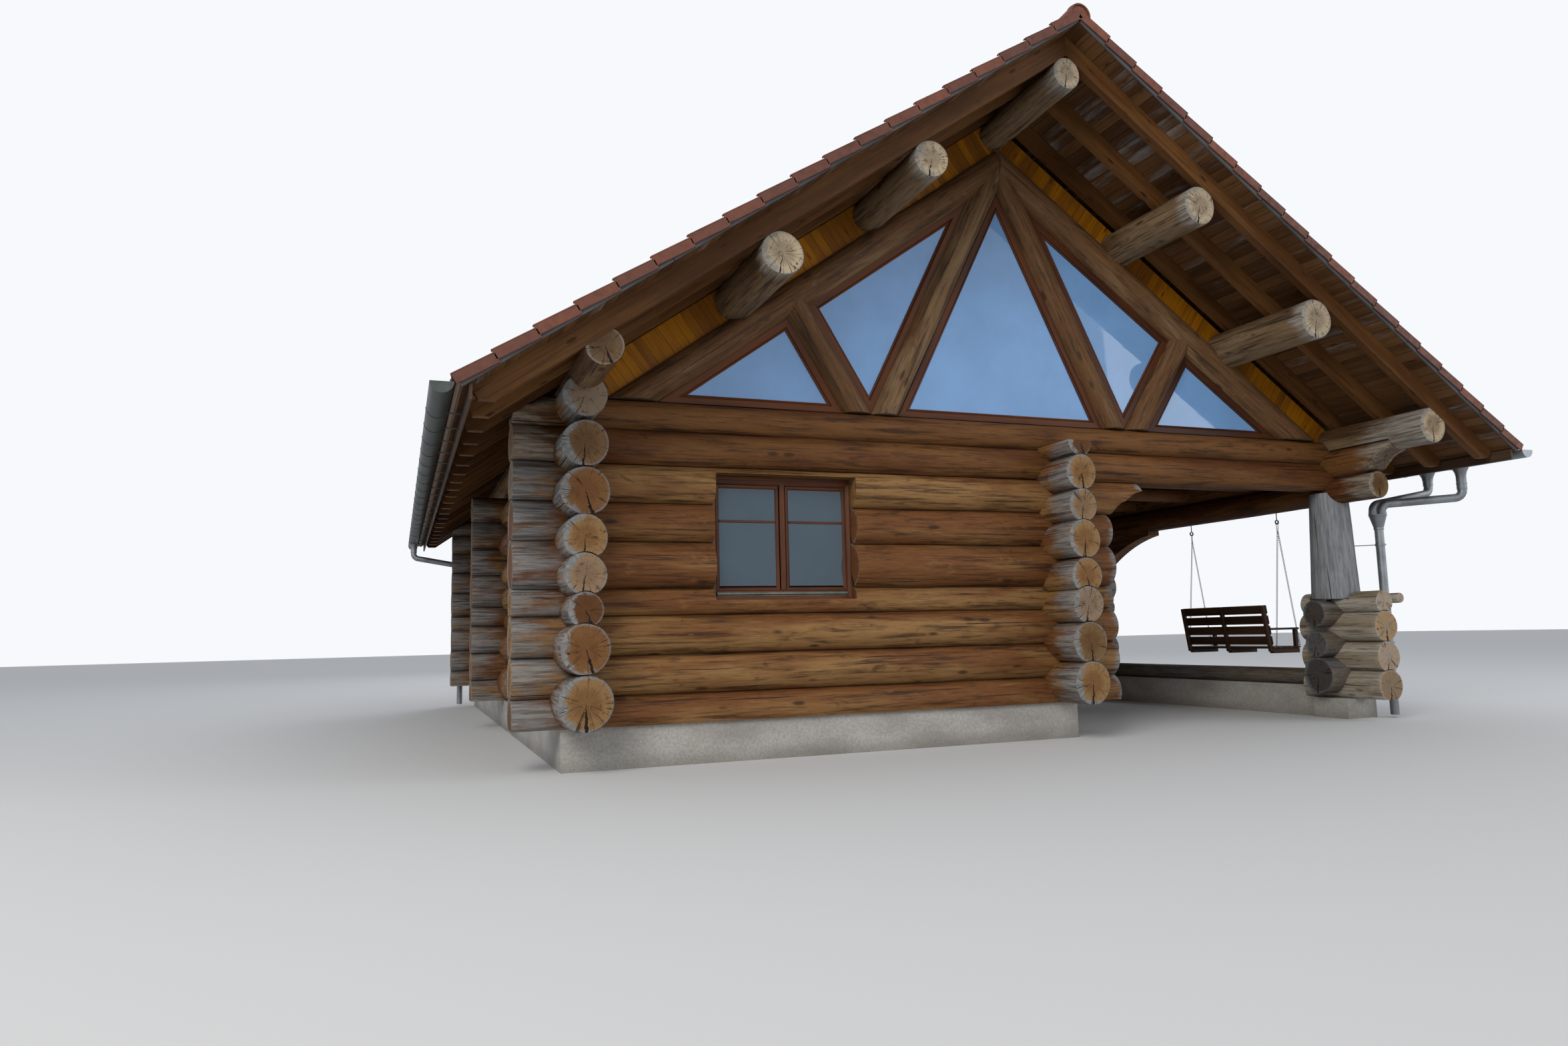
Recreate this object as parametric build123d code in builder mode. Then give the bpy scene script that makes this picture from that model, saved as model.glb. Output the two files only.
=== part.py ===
"""A cabin of round logs with a corner porch, a log truss in each gable and a hanging porch swing.

The origin is on the ground in the middle of the footprint, +X is to the right of the front and the
front faces -Y. The ground is taken at the lowest place where the plinth meets it. Walls that run
from left to right are built of logs along X, the others of logs along Y, half a course apart.
"""
import os
from collections import namedtuple
from math import cos, hypot, pi, radians, sin, sqrt, tan

from build123d import *

os.makedirs("parts", exist_ok=True)

# Plan: the lines on which the walls stand
WALL_LEFT = -4720
WALL_MIDDLE = 493
WALL_RIGHT = 4720
WALL_FRONT = -5136
WALL_CROSS = -80
WALL_REAR = 5136

# Roof form
PITCH = 35.15
RIDGE_UNDERSIDE = 7162
EAVE_REACH = 5818
PURLIN_REACH = 6542
VERGE_REACH = 6782
TILE_VERGE_REACH = 6805

# Roof layers, square to the slope
RAFTER_DEPTH = 180
RAFTER_WIDTH = 90
RAFTER_COUNT = 22
RAFTER_TAIL_REACH = 5740
RAFTER_NOSE = 85
RAFTER_NOSE_SLANT = 60
SHEATHING = 24
BATTEN_SPACE = 46
TILE_COURSES = 19
TILE_HEAD = 16
TILE_STEP = 26
TILE_OVERHANG = 70
VERGE_TRIM = 25
RIDGE_TILE_RADIUS = 128
RIDGE_TILE_WALL = 18
RIDGE_TILE_DROP = 46

# Logs: clearance in every scribed groove and notch
SCRIBE = 0.5
STUB = 580
MIDDLE_STUB = 640
MIDDLE_TAIL = 205
PLINTH_TOP = 380
DECK_UNDERSIDE = 3150

# Joints between the courses of the front wall, from its flat sill up
FRONT_JOINTS = (380, 646, 1009, 1377, 1635, 2062, 2430, 2795, 3129, 3408)
GROOVE = 22
SILL_LOG_RADIUS = 205
HEADER_COURSES = 2

# Centre height and radius of each log along Y, from the ground up
LEFT_LOGS = ((620, 245), (1085, 225), (1425, 160), (1734, 192), (2059, 202), (2464, 221), (2888, 212),
             (3318, 197))
MIDDLE_LOGS = ((600, 225), (1020, 215), (1410, 195), (1715, 190), (2100, 205), (2455, 175), (2810, 190),
               (3130, 150))
RIGHT_LOWER_LOGS = ((600, 225), (1020, 215), (1410, 195), (1715, 190), (2100, 205), (2455, 178))
PORCH_HEADER_LOGS = ((2790, 165), (3110, 190))
PORCH_HEADER_FRONTS = (-5860, -6120)
CORBEL_CURVE = 300
CORBEL_OUT = 20
CORBEL_DROP = 40

# Wall plates and purlins: place across the roof and radius
LEFT_PLATE = (-4700, 3540, 163)
RIGHT_PLATE = (4800, 3380, 206)
RIDGE_PURLIN_RADIUS = 163
LEFT_PURLINS = ((-1603, 180), (-3130, 200))
RIGHT_PURLINS = ((1603, 205), (3130, 220))
PURLIN_SEAT = 8

# Gable trusses
LEFT_CHORD_APEX = 6370
LEFT_CHORD_RADIUS = 150
RIGHT_CHORD_APEX = 6391
RIGHT_CHORD_RADIUS = 173
STRUT_RADIUS = 142
LONG_STRUT_FOOT_LEFT = -1499
LONG_STRUT_FOOT_RIGHT = 1430
SHORT_STRUT_LEFT = ((-2520, 4600), (-1800, 3408))
SHORT_STRUT_RIGHT = ((2520, 4600), (1740, 3408))
PANE_MIDDLES = ((-2900, 3700), (-1800, 4500), (0, 4500), (1800, 4500), (2900, 3700))
PANE_FRAME = 92
PANE_FRAME_DEPTH = 70
GABLE_BOARD = 20
GLASS = 12

# Porch
ARCH_LOG_REACH = 1673
ARCH_STUB_REACH = 1213
ARCH_RADIUS = 430
ARCH_CENTRE_OUT = 40
ARCH_CENTRE_DROP = 160
PIER_SIDE_LOGS = ((400, 190), (739, 185), (1104, 185), (1393, 135))
PIER_CROSS_LOGS = ((520, 215), (897, 158), (1272, 163))
PIER_REACH_FRONT = 660
PIER_REACH_BACK = 430
PIER_REACH_LEFT = 400
PIER_REACH_RIGHT = 470
PIER_SPUR_RADIUS = 60
PIER_SPUR_OFFSET = 270
PIER_SEAT = 30
POST_FOOT = 1440
POST_TOP_RADIUS = 216
POST_FOOT_RADIUS = 274
SILL_RADIUS = 108
SILL_SEAT = 10
SIDE_ARCH_REACH = 1300
SIDE_ARCH_DROP = 620
SIDE_ARCH_WIDTH = 200
SIDE_ARCH_LIP = 60
SIDE_ARCH_BOW = 130

# Plinth and floors
PLINTH_OUT = 150
PLINTH_IN = 250
PIER_BASE_HALF = 240
FLOOR_INSET = 215
FLOOR_BOARD = 40
DECK_INSET = 200
DECK_BOARD = 30
JOIST_RADIUS = 95
JOIST_COUNT = 8

# Windows and door
WINDOW_WIDTH = 1469
WINDOW_HEIGHT = 1218
WINDOW_SILL = 1512
WINDOW_CENTRE = -2670
WINDOW_FRAME_DEPTH = 80
PANE_WIDTH = 584
PANE_HEIGHT = 960
PANE_GAP = 143
PANE_ABOVE_SILL = 139
FIT = 0.4
LEFT_WINDOWS = (-2600, 2530)
REAR_WINDOWS = (-2400, 2400)
RIGHT_WINDOWS = (2530,)
DOOR_CENTRE = -2600
DOOR_WIDTH = 980
DOOR_HEIGHT = 2020
DOOR_FRAME = 70
DOOR_FRAME_DEPTH = 120
DOOR_LEAF = 45

# Rainwater goods
GUTTER_OFFSET = 5960
GUTTER_TOP = 3095
GUTTER_RADIUS = 88
GUTTER_WALL = 3
GUTTER_REACH = 6800
HOOK_WIDTH = 25
HOOK_WALL = 4
HOOK_DROP = 40
EAVES_BOARD = 25
EAVES_BOARD_DEPTH = 120
PIPE_RADIUS = 50
PIPE_X = 5120
PIPE_Y = -5489
PIPE_FOOT = 30
FUNNEL_TOP = 2470
FUNNEL_HEIGHT = 175
FUNNEL_RADIUS = 100
# Each outlet: its place along the gutter and the drop to its bend
OUTLETS = ((-5561, 250), (-5993, 357))
PIPE_BEND = 95
NECK_SPREAD_X = 30
NECK_SPREAD_Y = 33
NECK_RISE = 130
NECK_DIP = 10
CLAMP_HEIGHT = 2101

# Porch swing
SWING_AXIS_HEIGHT = 2506
SWING_CENTRE = -3540
SWING_BOLT_SPAN = 1560
EYE_RADIUS = 25
EYE_WIRE = 6
EYE_BORE = 20
EYE_WIDTH = 14
EYE_SHANK = 180
LINK_WIRE = 4
LINK_LENGTH = 90
LINK_WIDTH = 26
SEAT_TOP = 862
SEAT_LENGTH = 1500
SEAT_DEPTH = 460
SEAT_SHIFT = 35
SEAT_BOARD = 28
SEAT_SLATS = 5
SEAT_GAP = 12
SEAT_RAIL = 60
BACK_HEIGHT = 550
BACK_LEAN = 9
BACK_BOARDS = 4
BACK_GAP = 26
BACK_POST = 50
ARM_HEIGHT = 230
ARM_WIDTH = 70
ARM_LENGTH = 520
ARM_SHIFT = 20
CHAIN_RADIUS = 7
CHAIN_LUG = 21

# Values worked out from the sizes above
SLOPE = tan(radians(PITCH))
ACROSS = cos(radians(PITCH))
RAFTER_UNDERSIDE = RIDGE_UNDERSIDE - RAFTER_DEPTH / ACROSS
SEAT_PLANE = FRONT_JOINTS[-1] + GROOVE + SCRIBE
WINDOW_TOP = WINDOW_SILL + WINDOW_HEIGHT
WORLD = 2 * VERGE_REACH
OPENING_REACH = 2 * STUB

Log = namedtuple("Log", "axis across height radius start end")


def cross_courses():
    """Centre height and radius of each log along X, from the joints of the front wall."""
    courses = [(FRONT_JOINTS[1] + GROOVE - SILL_LOG_RADIUS, SILL_LOG_RADIUS)]
    for low, high in zip(FRONT_JOINTS[1:], FRONT_JOINTS[2:]):
        courses.append(((low + high) / 2, (high - low) / 2 + GROOVE))
    return courses


def roof_height(offset, apex):
    """Height of a plane parallel to the roof at a distance from the middle."""
    return apex - SLOPE * abs(offset)


def log_plane(log, early=0.0):
    """The plane of a log's first end, moved out by a small amount."""
    if log.axis == "x":
        return Plane(origin=(log.start - early, log.across, log.height), z_dir=(1, 0, 0))
    return Plane(origin=(log.across, log.start - early, log.height), z_dir=(0, 1, 0))


def carries(lower, upper):
    """True where one log lies under another and touches it."""
    if lower.height >= upper.height or lower.height + lower.radius < upper.height - upper.radius:
        return False
    if lower.axis == upper.axis:
        beside = abs(lower.across - upper.across) < lower.radius + upper.radius
        return beside and lower.start < upper.end and upper.start < lower.end
    crosses = lower.start - upper.radius < upper.across < lower.end + upper.radius
    return crosses and upper.start - lower.radius < lower.across < upper.end + lower.radius


def trunk(log, spare=0.0):
    """The plain round bar of a log, made larger all round for a cut."""
    with BuildPart(log_plane(log, spare)) as bar:
        Cylinder(log.radius + spare, log.end - log.start + 2 * spare,
                 align=(Align.CENTER, Align.CENTER, Align.MIN))
    return bar.part


def block(low, high):
    """A box between two corners."""
    with BuildPart() as box:
        with Locations(tuple((a + b) / 2 for a, b in zip(low, high))):
            Box(*[b - a for a, b in zip(low, high)])
    return box.part


def opening_box(axis, across, centre, width, low, high):
    """The box that a window or door takes out of a wall."""
    half = width / 2
    if axis == "x":
        low_corner = (centre - half, across - OPENING_REACH, low)
        high_corner = (centre + half, across + OPENING_REACH, high)
    else:
        low_corner = (across - OPENING_REACH, centre - half, low)
        high_corner = (across + OPENING_REACH, centre + half, high)
    return block(low_corner, high_corner)


def below_height(height):
    """All the space under a level."""
    return block((-WORLD, -WORLD, -WORLD), (WORLD, WORLD, height))


def above_height(height):
    """All the space over a level."""
    return block((-WORLD, -WORLD, height), (WORLD, WORLD, WORLD))


def above_rafters(length):
    """The space above the undersides of the rafters, which trims the logs that carry them."""
    wide = EAVE_REACH + RAFTER_DEPTH
    low = roof_height(wide, RAFTER_UNDERSIDE)
    high = RIDGE_UNDERSIDE + RAFTER_DEPTH
    with BuildPart() as space:
        with BuildSketch(Plane.XZ):
            Polygon((-wide, low), (0, RAFTER_UNDERSIDE), (wide, low), (wide, high), (-wide, high),
                    align=None)
        extrude(amount=length, both=True)
    return space.part


def shaped_log(log, below, cuts=()):
    """One log, grooved and notched over the logs below it and cut at openings and levels."""
    seats = [trunk(seat, SCRIBE) for seat in below if carries(seat, log)]
    with BuildPart() as piece:
        add(trunk(log))
        if seats or cuts:
            add(seats + list(cuts), mode=Mode.SUBTRACT)
    return piece.part


def save(part, name):
    """Label one finished sub-part and write it."""
    part.label = name
    export_step(part, f"parts/{name}.step")


# Every log of the walls as a line with a radius
CROSS = cross_courses()
WALL_COURSES = CROSS[:-HEADER_COURSES]
HEADER_LOGS = CROSS[-HEADER_COURSES:]
LEFT_END = WALL_LEFT - STUB
RIGHT_END = WALL_RIGHT + STUB

front_logs = []
for number, (height, radius) in enumerate(WALL_COURSES):
    right_end = ARCH_LOG_REACH if number == len(WALL_COURSES) - 1 else ARCH_STUB_REACH
    front_logs.append(Log("x", WALL_FRONT, height, radius, LEFT_END, right_end))
header_logs = [Log("x", WALL_FRONT, z, r, LEFT_END, WALL_RIGHT + r) for z, r in HEADER_LOGS]
cross_logs = [Log("x", WALL_CROSS, z, r, LEFT_END, RIGHT_END) for z, r in CROSS[:-1]]
rear_logs = [Log("x", WALL_REAR, z, r, LEFT_END, RIGHT_END) for z, r in CROSS]
left_logs = [Log("y", WALL_LEFT, z, r, WALL_FRONT - STUB - GROOVE, WALL_REAR + STUB) for z, r in LEFT_LOGS]
middle_logs = [Log("y", WALL_MIDDLE, z, r, WALL_FRONT - MIDDLE_STUB, WALL_CROSS + MIDDLE_TAIL)
               for z, r in MIDDLE_LOGS]
right_logs = [Log("y", WALL_RIGHT, z, r, WALL_CROSS - STUB, WALL_REAR + STUB) for z, r in RIGHT_LOWER_LOGS]
porch_header_logs = [Log("y", WALL_RIGHT, z, r, front, WALL_REAR + STUB)
                     for (z, r), front in zip(PORCH_HEADER_LOGS, PORCH_HEADER_FRONTS)]
plates = [Log("y", x, z, r, -PURLIN_REACH, PURLIN_REACH) for x, z, r in (LEFT_PLATE, RIGHT_PLATE)]
wall_logs = (front_logs + header_logs + cross_logs + rear_logs + left_logs + middle_logs + right_logs
             + porch_header_logs)

# Openings in the walls
window_low = WINDOW_SILL - FIT
window_high = WINDOW_TOP + FIT
window_wide = WINDOW_WIDTH + 2 * FIT
door_low = PLINTH_TOP + FLOOR_BOARD
door_box = opening_box("y", WALL_MIDDLE, DOOR_CENTRE, DOOR_WIDTH + 2 * FIT, door_low,
                       door_low + DOOR_HEIGHT + FIT)
front_boxes = [opening_box("x", WALL_FRONT, WINDOW_CENTRE, window_wide, window_low, window_high)]
left_boxes = [opening_box("y", WALL_LEFT, y, window_wide, window_low, window_high) for y in LEFT_WINDOWS]
rear_boxes = [opening_box("x", WALL_REAR, x, window_wide, window_low, window_high) for x in REAR_WINDOWS]
right_boxes = [opening_box("y", WALL_RIGHT, y, window_wide, window_low, window_high) for y in RIGHT_WINDOWS]
under_plinth_top = below_height(PLINTH_TOP)
over_deck = above_height(DECK_UNDERSIDE)
over_roof = above_rafters(PURLIN_REACH + STUB)

# Plain log walls
walls = {
    "left_wall": (left_logs, [under_plinth_top, over_roof] + left_boxes),
    "middle_wall": (middle_logs, [under_plinth_top, door_box, over_deck]),
    "cross_wall": (cross_logs, [under_plinth_top, over_deck]),
    "rear_wall": (rear_logs, [under_plinth_top, over_roof] + rear_boxes),
    "right_wall": (right_logs, [under_plinth_top] + right_boxes),
    "header_logs": (header_logs, [over_roof]),
}
for name, (logs, cuts) in walls.items():
    with BuildPart() as wall:
        add([shaped_log(log, wall_logs, cuts) for log in logs])
    save(wall.part, name)

# Front wall: its top log runs on over the porch and is cut to a curve on the underside
arch_centre = (ARCH_LOG_REACH + ARCH_CENTRE_OUT, FRONT_JOINTS[-HEADER_COURSES - 2] - ARCH_CENTRE_DROP)
with BuildPart() as front_wall:
    add([shaped_log(log, wall_logs, [under_plinth_top] + front_boxes) for log in front_logs])
    with BuildSketch(Plane.XZ.offset(-WALL_FRONT)):
        with Locations(arch_centre):
            Circle(ARCH_RADIUS)
    extrude(amount=OPENING_REACH, both=True, mode=Mode.SUBTRACT)
save(front_wall.part, "front_wall")

# Side header of the porch: two long logs, the upper one with a curved front end
swing_bolts = (SWING_CENTRE - SWING_BOLT_SPAN / 2, SWING_CENTRE + SWING_BOLT_SPAN / 2)
corbel = porch_header_logs[1]
with BuildPart() as porch_side_header:
    add([shaped_log(log, wall_logs, right_boxes) for log in porch_header_logs])
    with BuildSketch(Plane.YZ.offset(corbel.across)):
        with Locations((corbel.start - CORBEL_OUT, corbel.height - corbel.radius - CORBEL_DROP)):
            Circle(CORBEL_CURVE)
    extrude(amount=OPENING_REACH, both=True, mode=Mode.SUBTRACT)
    for bolt in swing_bolts:
        with Locations((WALL_RIGHT, bolt, SWING_AXIS_HEIGHT)):
            Cylinder(EYE_WIRE + SCRIBE, EYE_SHANK + EYE_RADIUS + SCRIBE,
                     align=(Align.CENTER, Align.CENTER, Align.MIN), mode=Mode.SUBTRACT)
save(porch_side_header.part, "porch_side_header")

# Pier of crossed logs at the porch corner, with a short spur beside its top log
pier_front = WALL_FRONT - PIER_REACH_FRONT
pier_back = WALL_FRONT + PIER_REACH_BACK
pier_side_logs = [Log("y", WALL_RIGHT, z, r, pier_front, pier_back) for z, r in PIER_SIDE_LOGS]
pier_cross_logs = [Log("x", WALL_FRONT, z, r, WALL_RIGHT - PIER_REACH_LEFT, WALL_RIGHT + PIER_REACH_RIGHT)
                   for z, r in PIER_CROSS_LOGS]
spur = Log("y", WALL_RIGHT + PIER_SPUR_OFFSET, PIER_CROSS_LOGS[-1][0] + PIER_CROSS_LOGS[-1][1],
           PIER_SPUR_RADIUS, pier_front, WALL_FRONT)
pier_logs = pier_side_logs + pier_cross_logs
base_top = PIER_SIDE_LOGS[0][0] - PIER_SIDE_LOGS[0][1] + PIER_SEAT
pier_cuts = [below_height(base_top), above_height(POST_FOOT - SCRIBE)]
with BuildPart() as porch_pier:
    add([shaped_log(log, pier_logs, pier_cuts) for log in pier_logs + [spur]])
save(porch_pier.part, "porch_pier")

# Post: a flared trunk from the pier to the underside of the side header
lower_header = porch_header_logs[0]
with BuildPart() as porch_post:
    with BuildSketch(Plane(origin=(WALL_RIGHT, WALL_FRONT, POST_FOOT))):
        Circle(POST_FOOT_RADIUS)
    with BuildSketch(Plane(origin=(WALL_RIGHT, WALL_FRONT, lower_header.height))):
        Circle(POST_TOP_RADIUS)
    loft()
    add([trunk(lower_header, SCRIBE), trunk(header_logs[0], SCRIBE)], mode=Mode.SUBTRACT)
save(porch_post.part.solids().sort_by(SortBy.VOLUME)[-1], "porch_post")

# Sill log along the open side of the porch
sill = Log("y", WALL_RIGHT, PLINTH_TOP + SILL_RADIUS - SILL_SEAT, SILL_RADIUS, pier_back + SCRIBE,
           WALL_CROSS - STUB - SCRIBE)
with BuildPart() as porch_sill_log:
    add(shaped_log(sill, [], [under_plinth_top]))
save(porch_sill_log.part, "porch_sill_log")

# Curved bracket at the rear end of the side header
bracket_face = right_logs[0].start
bracket_top = lower_header.height
with BuildPart() as porch_arch:
    with BuildSketch(Plane.YZ.offset(WALL_RIGHT)):
        with BuildLine():
            top_front = (bracket_face - SIDE_ARCH_REACH, bracket_top)
            top_rear = (bracket_face - SCRIBE, bracket_top)
            foot = (bracket_face - SCRIBE, bracket_top - lower_header.radius - SIDE_ARCH_DROP)
            nose = (bracket_face - SIDE_ARCH_REACH, bracket_top - lower_header.radius - SIDE_ARCH_LIP)
            bow = ((foot[0] + nose[0]) / 2 - SIDE_ARCH_LIP, (foot[1] + nose[1]) / 2 + SIDE_ARCH_BOW)
            Line(top_front, top_rear)
            Line(top_rear, foot)
            ThreePointArc(foot, bow, nose)
            Line(nose, top_front)
        make_face()
    extrude(amount=SIDE_ARCH_WIDTH / 2, both=True)
    add([trunk(lower_header, SCRIBE), above_height(lower_header.height)], mode=Mode.SUBTRACT)
save(porch_arch.part, "porch_arch")

# Plinth: strips under every wall, the porch sill and the pier
def strip(x0, x1, y0, y1):
    """One rectangle of the plinth's plan."""
    with Locations(((x0 + x1) / 2, (y0 + y1) / 2)):
        Rectangle(x1 - x0, y1 - y0)


plinth_left = WALL_LEFT - PLINTH_OUT
plinth_right = WALL_RIGHT + PLINTH_OUT
plinth_front = WALL_FRONT - PLINTH_OUT
plinth_rear = WALL_REAR + PLINTH_OUT
with BuildPart() as plinth:
    with BuildSketch():
        strip(plinth_left, WALL_LEFT + PLINTH_IN, plinth_front, plinth_rear)
        strip(plinth_left, WALL_MIDDLE + PLINTH_OUT, plinth_front, WALL_FRONT + PLINTH_IN)
        strip(WALL_MIDDLE - PLINTH_IN, WALL_MIDDLE + PLINTH_OUT, plinth_front, WALL_CROSS + PLINTH_IN)
        strip(plinth_left, plinth_right, WALL_CROSS - PLINTH_IN, WALL_CROSS + PLINTH_IN)
        strip(plinth_left, plinth_right, WALL_REAR - PLINTH_IN, plinth_rear)
        strip(WALL_RIGHT - PLINTH_IN, plinth_right, WALL_CROSS - PLINTH_IN, plinth_rear)
        strip(WALL_RIGHT - PLINTH_OUT, plinth_right, pier_back, WALL_CROSS)
    extrude(amount=PLINTH_TOP)
    with BuildSketch():
        strip(WALL_RIGHT - PIER_BASE_HALF, WALL_RIGHT + PIER_BASE_HALF, WALL_FRONT - PIER_BASE_HALF,
              WALL_FRONT + PIER_BASE_HALF)
        strip(WALL_RIGHT - PLINTH_OUT, plinth_right, WALL_FRONT, pier_back)
    extrude(amount=base_top)
save(plinth.part, "plinth")

# Floors
with BuildPart() as floor:
    with BuildSketch(Plane.XY.offset(PLINTH_TOP)):
        strip(WALL_LEFT + FLOOR_INSET, WALL_MIDDLE - FLOOR_INSET, WALL_FRONT + FLOOR_INSET,
              WALL_CROSS - FLOOR_INSET)
        strip(WALL_LEFT + FLOOR_INSET, WALL_RIGHT - FLOOR_INSET, WALL_CROSS + FLOOR_INSET,
              WALL_REAR - FLOOR_INSET)
    extrude(amount=FLOOR_BOARD)
save(floor.part, "floor")

with BuildPart() as upper_floor:
    with BuildSketch(Plane.XY.offset(DECK_UNDERSIDE)):
        strip(WALL_LEFT + DECK_INSET, WALL_RIGHT - DECK_INSET, WALL_FRONT + DECK_INSET,
              WALL_REAR - DECK_INSET)
    extrude(amount=DECK_BOARD)
save(upper_floor.part, "upper_floor")

joist_pitch = (WALL_REAR - WALL_FRONT) / (JOIST_COUNT + 1)
joists = [Log("x", WALL_FRONT + joist_pitch * (n + 1), DECK_UNDERSIDE - JOIST_RADIUS, JOIST_RADIUS,
              WALL_LEFT, WALL_RIGHT) for n in range(JOIST_COUNT)]
bearers = [log for log in left_logs + middle_logs + porch_header_logs
           if abs(log.height - DECK_UNDERSIDE + JOIST_RADIUS) < log.radius + JOIST_RADIUS]
least_joist = pi * JOIST_RADIUS ** 2 * JOIST_RADIUS
with BuildPart() as ceiling_joists:
    for joist in joists:
        with BuildPart(mode=Mode.PRIVATE) as one_joist:
            add(trunk(joist))
            add([trunk(bearer, SCRIBE) for bearer in bearers], mode=Mode.SUBTRACT)
        add([length for length in one_joist.part.solids() if length.volume > least_joist])
save(ceiling_joists.part, "ceiling_joists")


def purlin_log(offset, radius):
    """A purlin that touches the undersides of the rafters with a narrow flat seat."""
    height = roof_height(offset, RAFTER_UNDERSIDE) - (radius - PURLIN_SEAT) / ACROSS
    return Log("y", offset, height, radius, -PURLIN_REACH, PURLIN_REACH)


ridge_purlin_log = purlin_log(0, RIDGE_PURLIN_RADIUS)
left_purlin_logs = [purlin_log(offset, radius) for offset, radius in LEFT_PURLINS]
right_purlin_logs = [purlin_log(offset, radius) for offset, radius in RIGHT_PURLINS]
purlin_logs = [ridge_purlin_log] + left_purlin_logs + right_purlin_logs
long_logs = {
    "ridge_purlin": [ridge_purlin_log],
    "left_purlins": left_purlin_logs,
    "right_purlins": right_purlin_logs,
    "wall_plates": plates,
}
for name, logs in long_logs.items():
    with BuildPart() as timbers:
        add([shaped_log(log, wall_logs, [over_roof]) for log in logs])
    save(timbers.part, name)

# Trusses, as centre lines in the plane of the gable
Bar = namedtuple("Bar", "x0 z0 x1 z1 radius")


def chord_bar(side, apex, radius):
    """A sloping chord from the middle of the gable down to the header."""
    reach = (apex - SEAT_PLANE) / SLOPE + 2 * radius
    return Bar(0, apex, side * reach, apex - SLOPE * reach, radius)


left_chord = chord_bar(-1, LEFT_CHORD_APEX, LEFT_CHORD_RADIUS)
right_chord = chord_bar(1, RIGHT_CHORD_APEX, RIGHT_CHORD_RADIUS)
left_long = Bar(0, LEFT_CHORD_APEX, LONG_STRUT_FOOT_LEFT, SEAT_PLANE, STRUT_RADIUS)
right_long = Bar(0, RIGHT_CHORD_APEX, LONG_STRUT_FOOT_RIGHT, SEAT_PLANE, STRUT_RADIUS)
left_short = Bar(*SHORT_STRUT_LEFT[0], *SHORT_STRUT_LEFT[1], STRUT_RADIUS)
right_short = Bar(*SHORT_STRUT_RIGHT[0], *SHORT_STRUT_RIGHT[1], STRUT_RADIUS)


def bar_solid(bar, across, extra=0.0, past=0.0):
    """A round bar of the truss, made a little fatter for the cut in its neighbour."""
    length = hypot(bar.x1 - bar.x0, bar.z1 - bar.z0)
    along = ((bar.x1 - bar.x0) / length, 0, (bar.z1 - bar.z0) / length)
    with BuildPart() as piece:
        with BuildSketch(Plane(origin=(bar.x0, across, bar.z0), z_dir=along)):
            Circle(bar.radius + extra)
        extrude(amount=length + past)
    return piece.part


def truss_bar(bar, across, side, cutters):
    """One bar, cut to its neighbours, the header below and the middle of the gable."""
    with BuildPart() as piece:
        add(bar_solid(bar, across, past=2 * bar.radius))
        cuts = [bar_solid(cutter, across, SCRIBE, 2 * cutter.radius) for cutter in cutters]
        cuts += [trunk(log, SCRIBE) for log in purlin_logs]
        cuts.append(below_height(SEAT_PLANE))
        if side < 0:
            cuts.append(block((-SCRIBE / 2, -WORLD, -WORLD), (WORLD, WORLD, WORLD)))
        else:
            cuts.append(block((-WORLD, -WORLD, -WORLD), (SCRIBE / 2, WORLD, WORLD)))
        add(cuts, mode=Mode.SUBTRACT)
    return piece.part.solids().sort_by(SortBy.VOLUME)[-1]


for name, across in (("front_truss", WALL_FRONT), ("rear_truss", WALL_REAR)):
    with BuildPart() as truss:
        add(truss_bar(left_chord, across, -1, []))
        add(truss_bar(right_chord, across, 1, []))
        add(truss_bar(left_long, across, -1, [left_chord, right_chord]))
        add(truss_bar(right_long, across, 1, [left_chord, right_chord]))
        add(truss_bar(left_short, across, -1, [left_chord, left_long]))
        add(truss_bar(right_short, across, 1, [right_chord, right_long]))
    save(truss.part, name)


def edge_line(bar, inside):
    """The edge of a bar that faces a point, a scribe's width off the bar: a point and a direction."""
    length = hypot(bar.x1 - bar.x0, bar.z1 - bar.z0)
    along = ((bar.x1 - bar.x0) / length, (bar.z1 - bar.z0) / length)
    facing = along[0] * (inside[1] - bar.z0) - along[1] * (inside[0] - bar.x0)
    out = (bar.radius + SCRIBE) * (1 if facing > 0 else -1)
    return (bar.x0 - along[1] * out, bar.z0 + along[0] * out), along


def meet(first, second):
    """The point where two lines cross."""
    (ax, az), (ux, uz) = first
    (bx, bz), (vx, vz) = second
    step = ((bx - ax) * vz - (bz - az) * vx) / (ux * vz - uz * vx)
    return ax + ux * step, az + uz * step


def pane_outline(inside, bars):
    """Corners of the triangle around a point between bars and, with two bars, the header."""
    edges = [edge_line(bar, inside) for bar in bars]
    if len(edges) == 2:
        edges.append(((0, SEAT_PLANE), (1, 0)))
    return [meet(edges[0], edges[1]), meet(edges[1], edges[2]), meet(edges[2], edges[0])]


pane_bars = (
    (left_chord, left_short),
    (left_chord, left_long, left_short),
    (left_long, right_long),
    (right_chord, right_long, right_short),
    (right_chord, right_short),
)
pane_outlines = [pane_outline(inside, bars) for inside, bars in zip(PANE_MIDDLES, pane_bars)]


def pane_face(outline, inset):
    """A pane's triangle, moved in from its edges."""
    Polygon(*outline, align=None)
    with Locations((0, SEAT_PLANE)):
        Rectangle(WORLD, WORLD, align=(Align.CENTER, Align.MAX), mode=Mode.SUBTRACT)
    if inset:
        offset(amount=-inset, kind=Kind.INTERSECTION)


def gable_plane(across):
    """The plane of one gable, seen from the front."""
    return Plane(origin=(0, across, 0), x_dir=(1, 0, 0), z_dir=(0, -1, 0))


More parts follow.
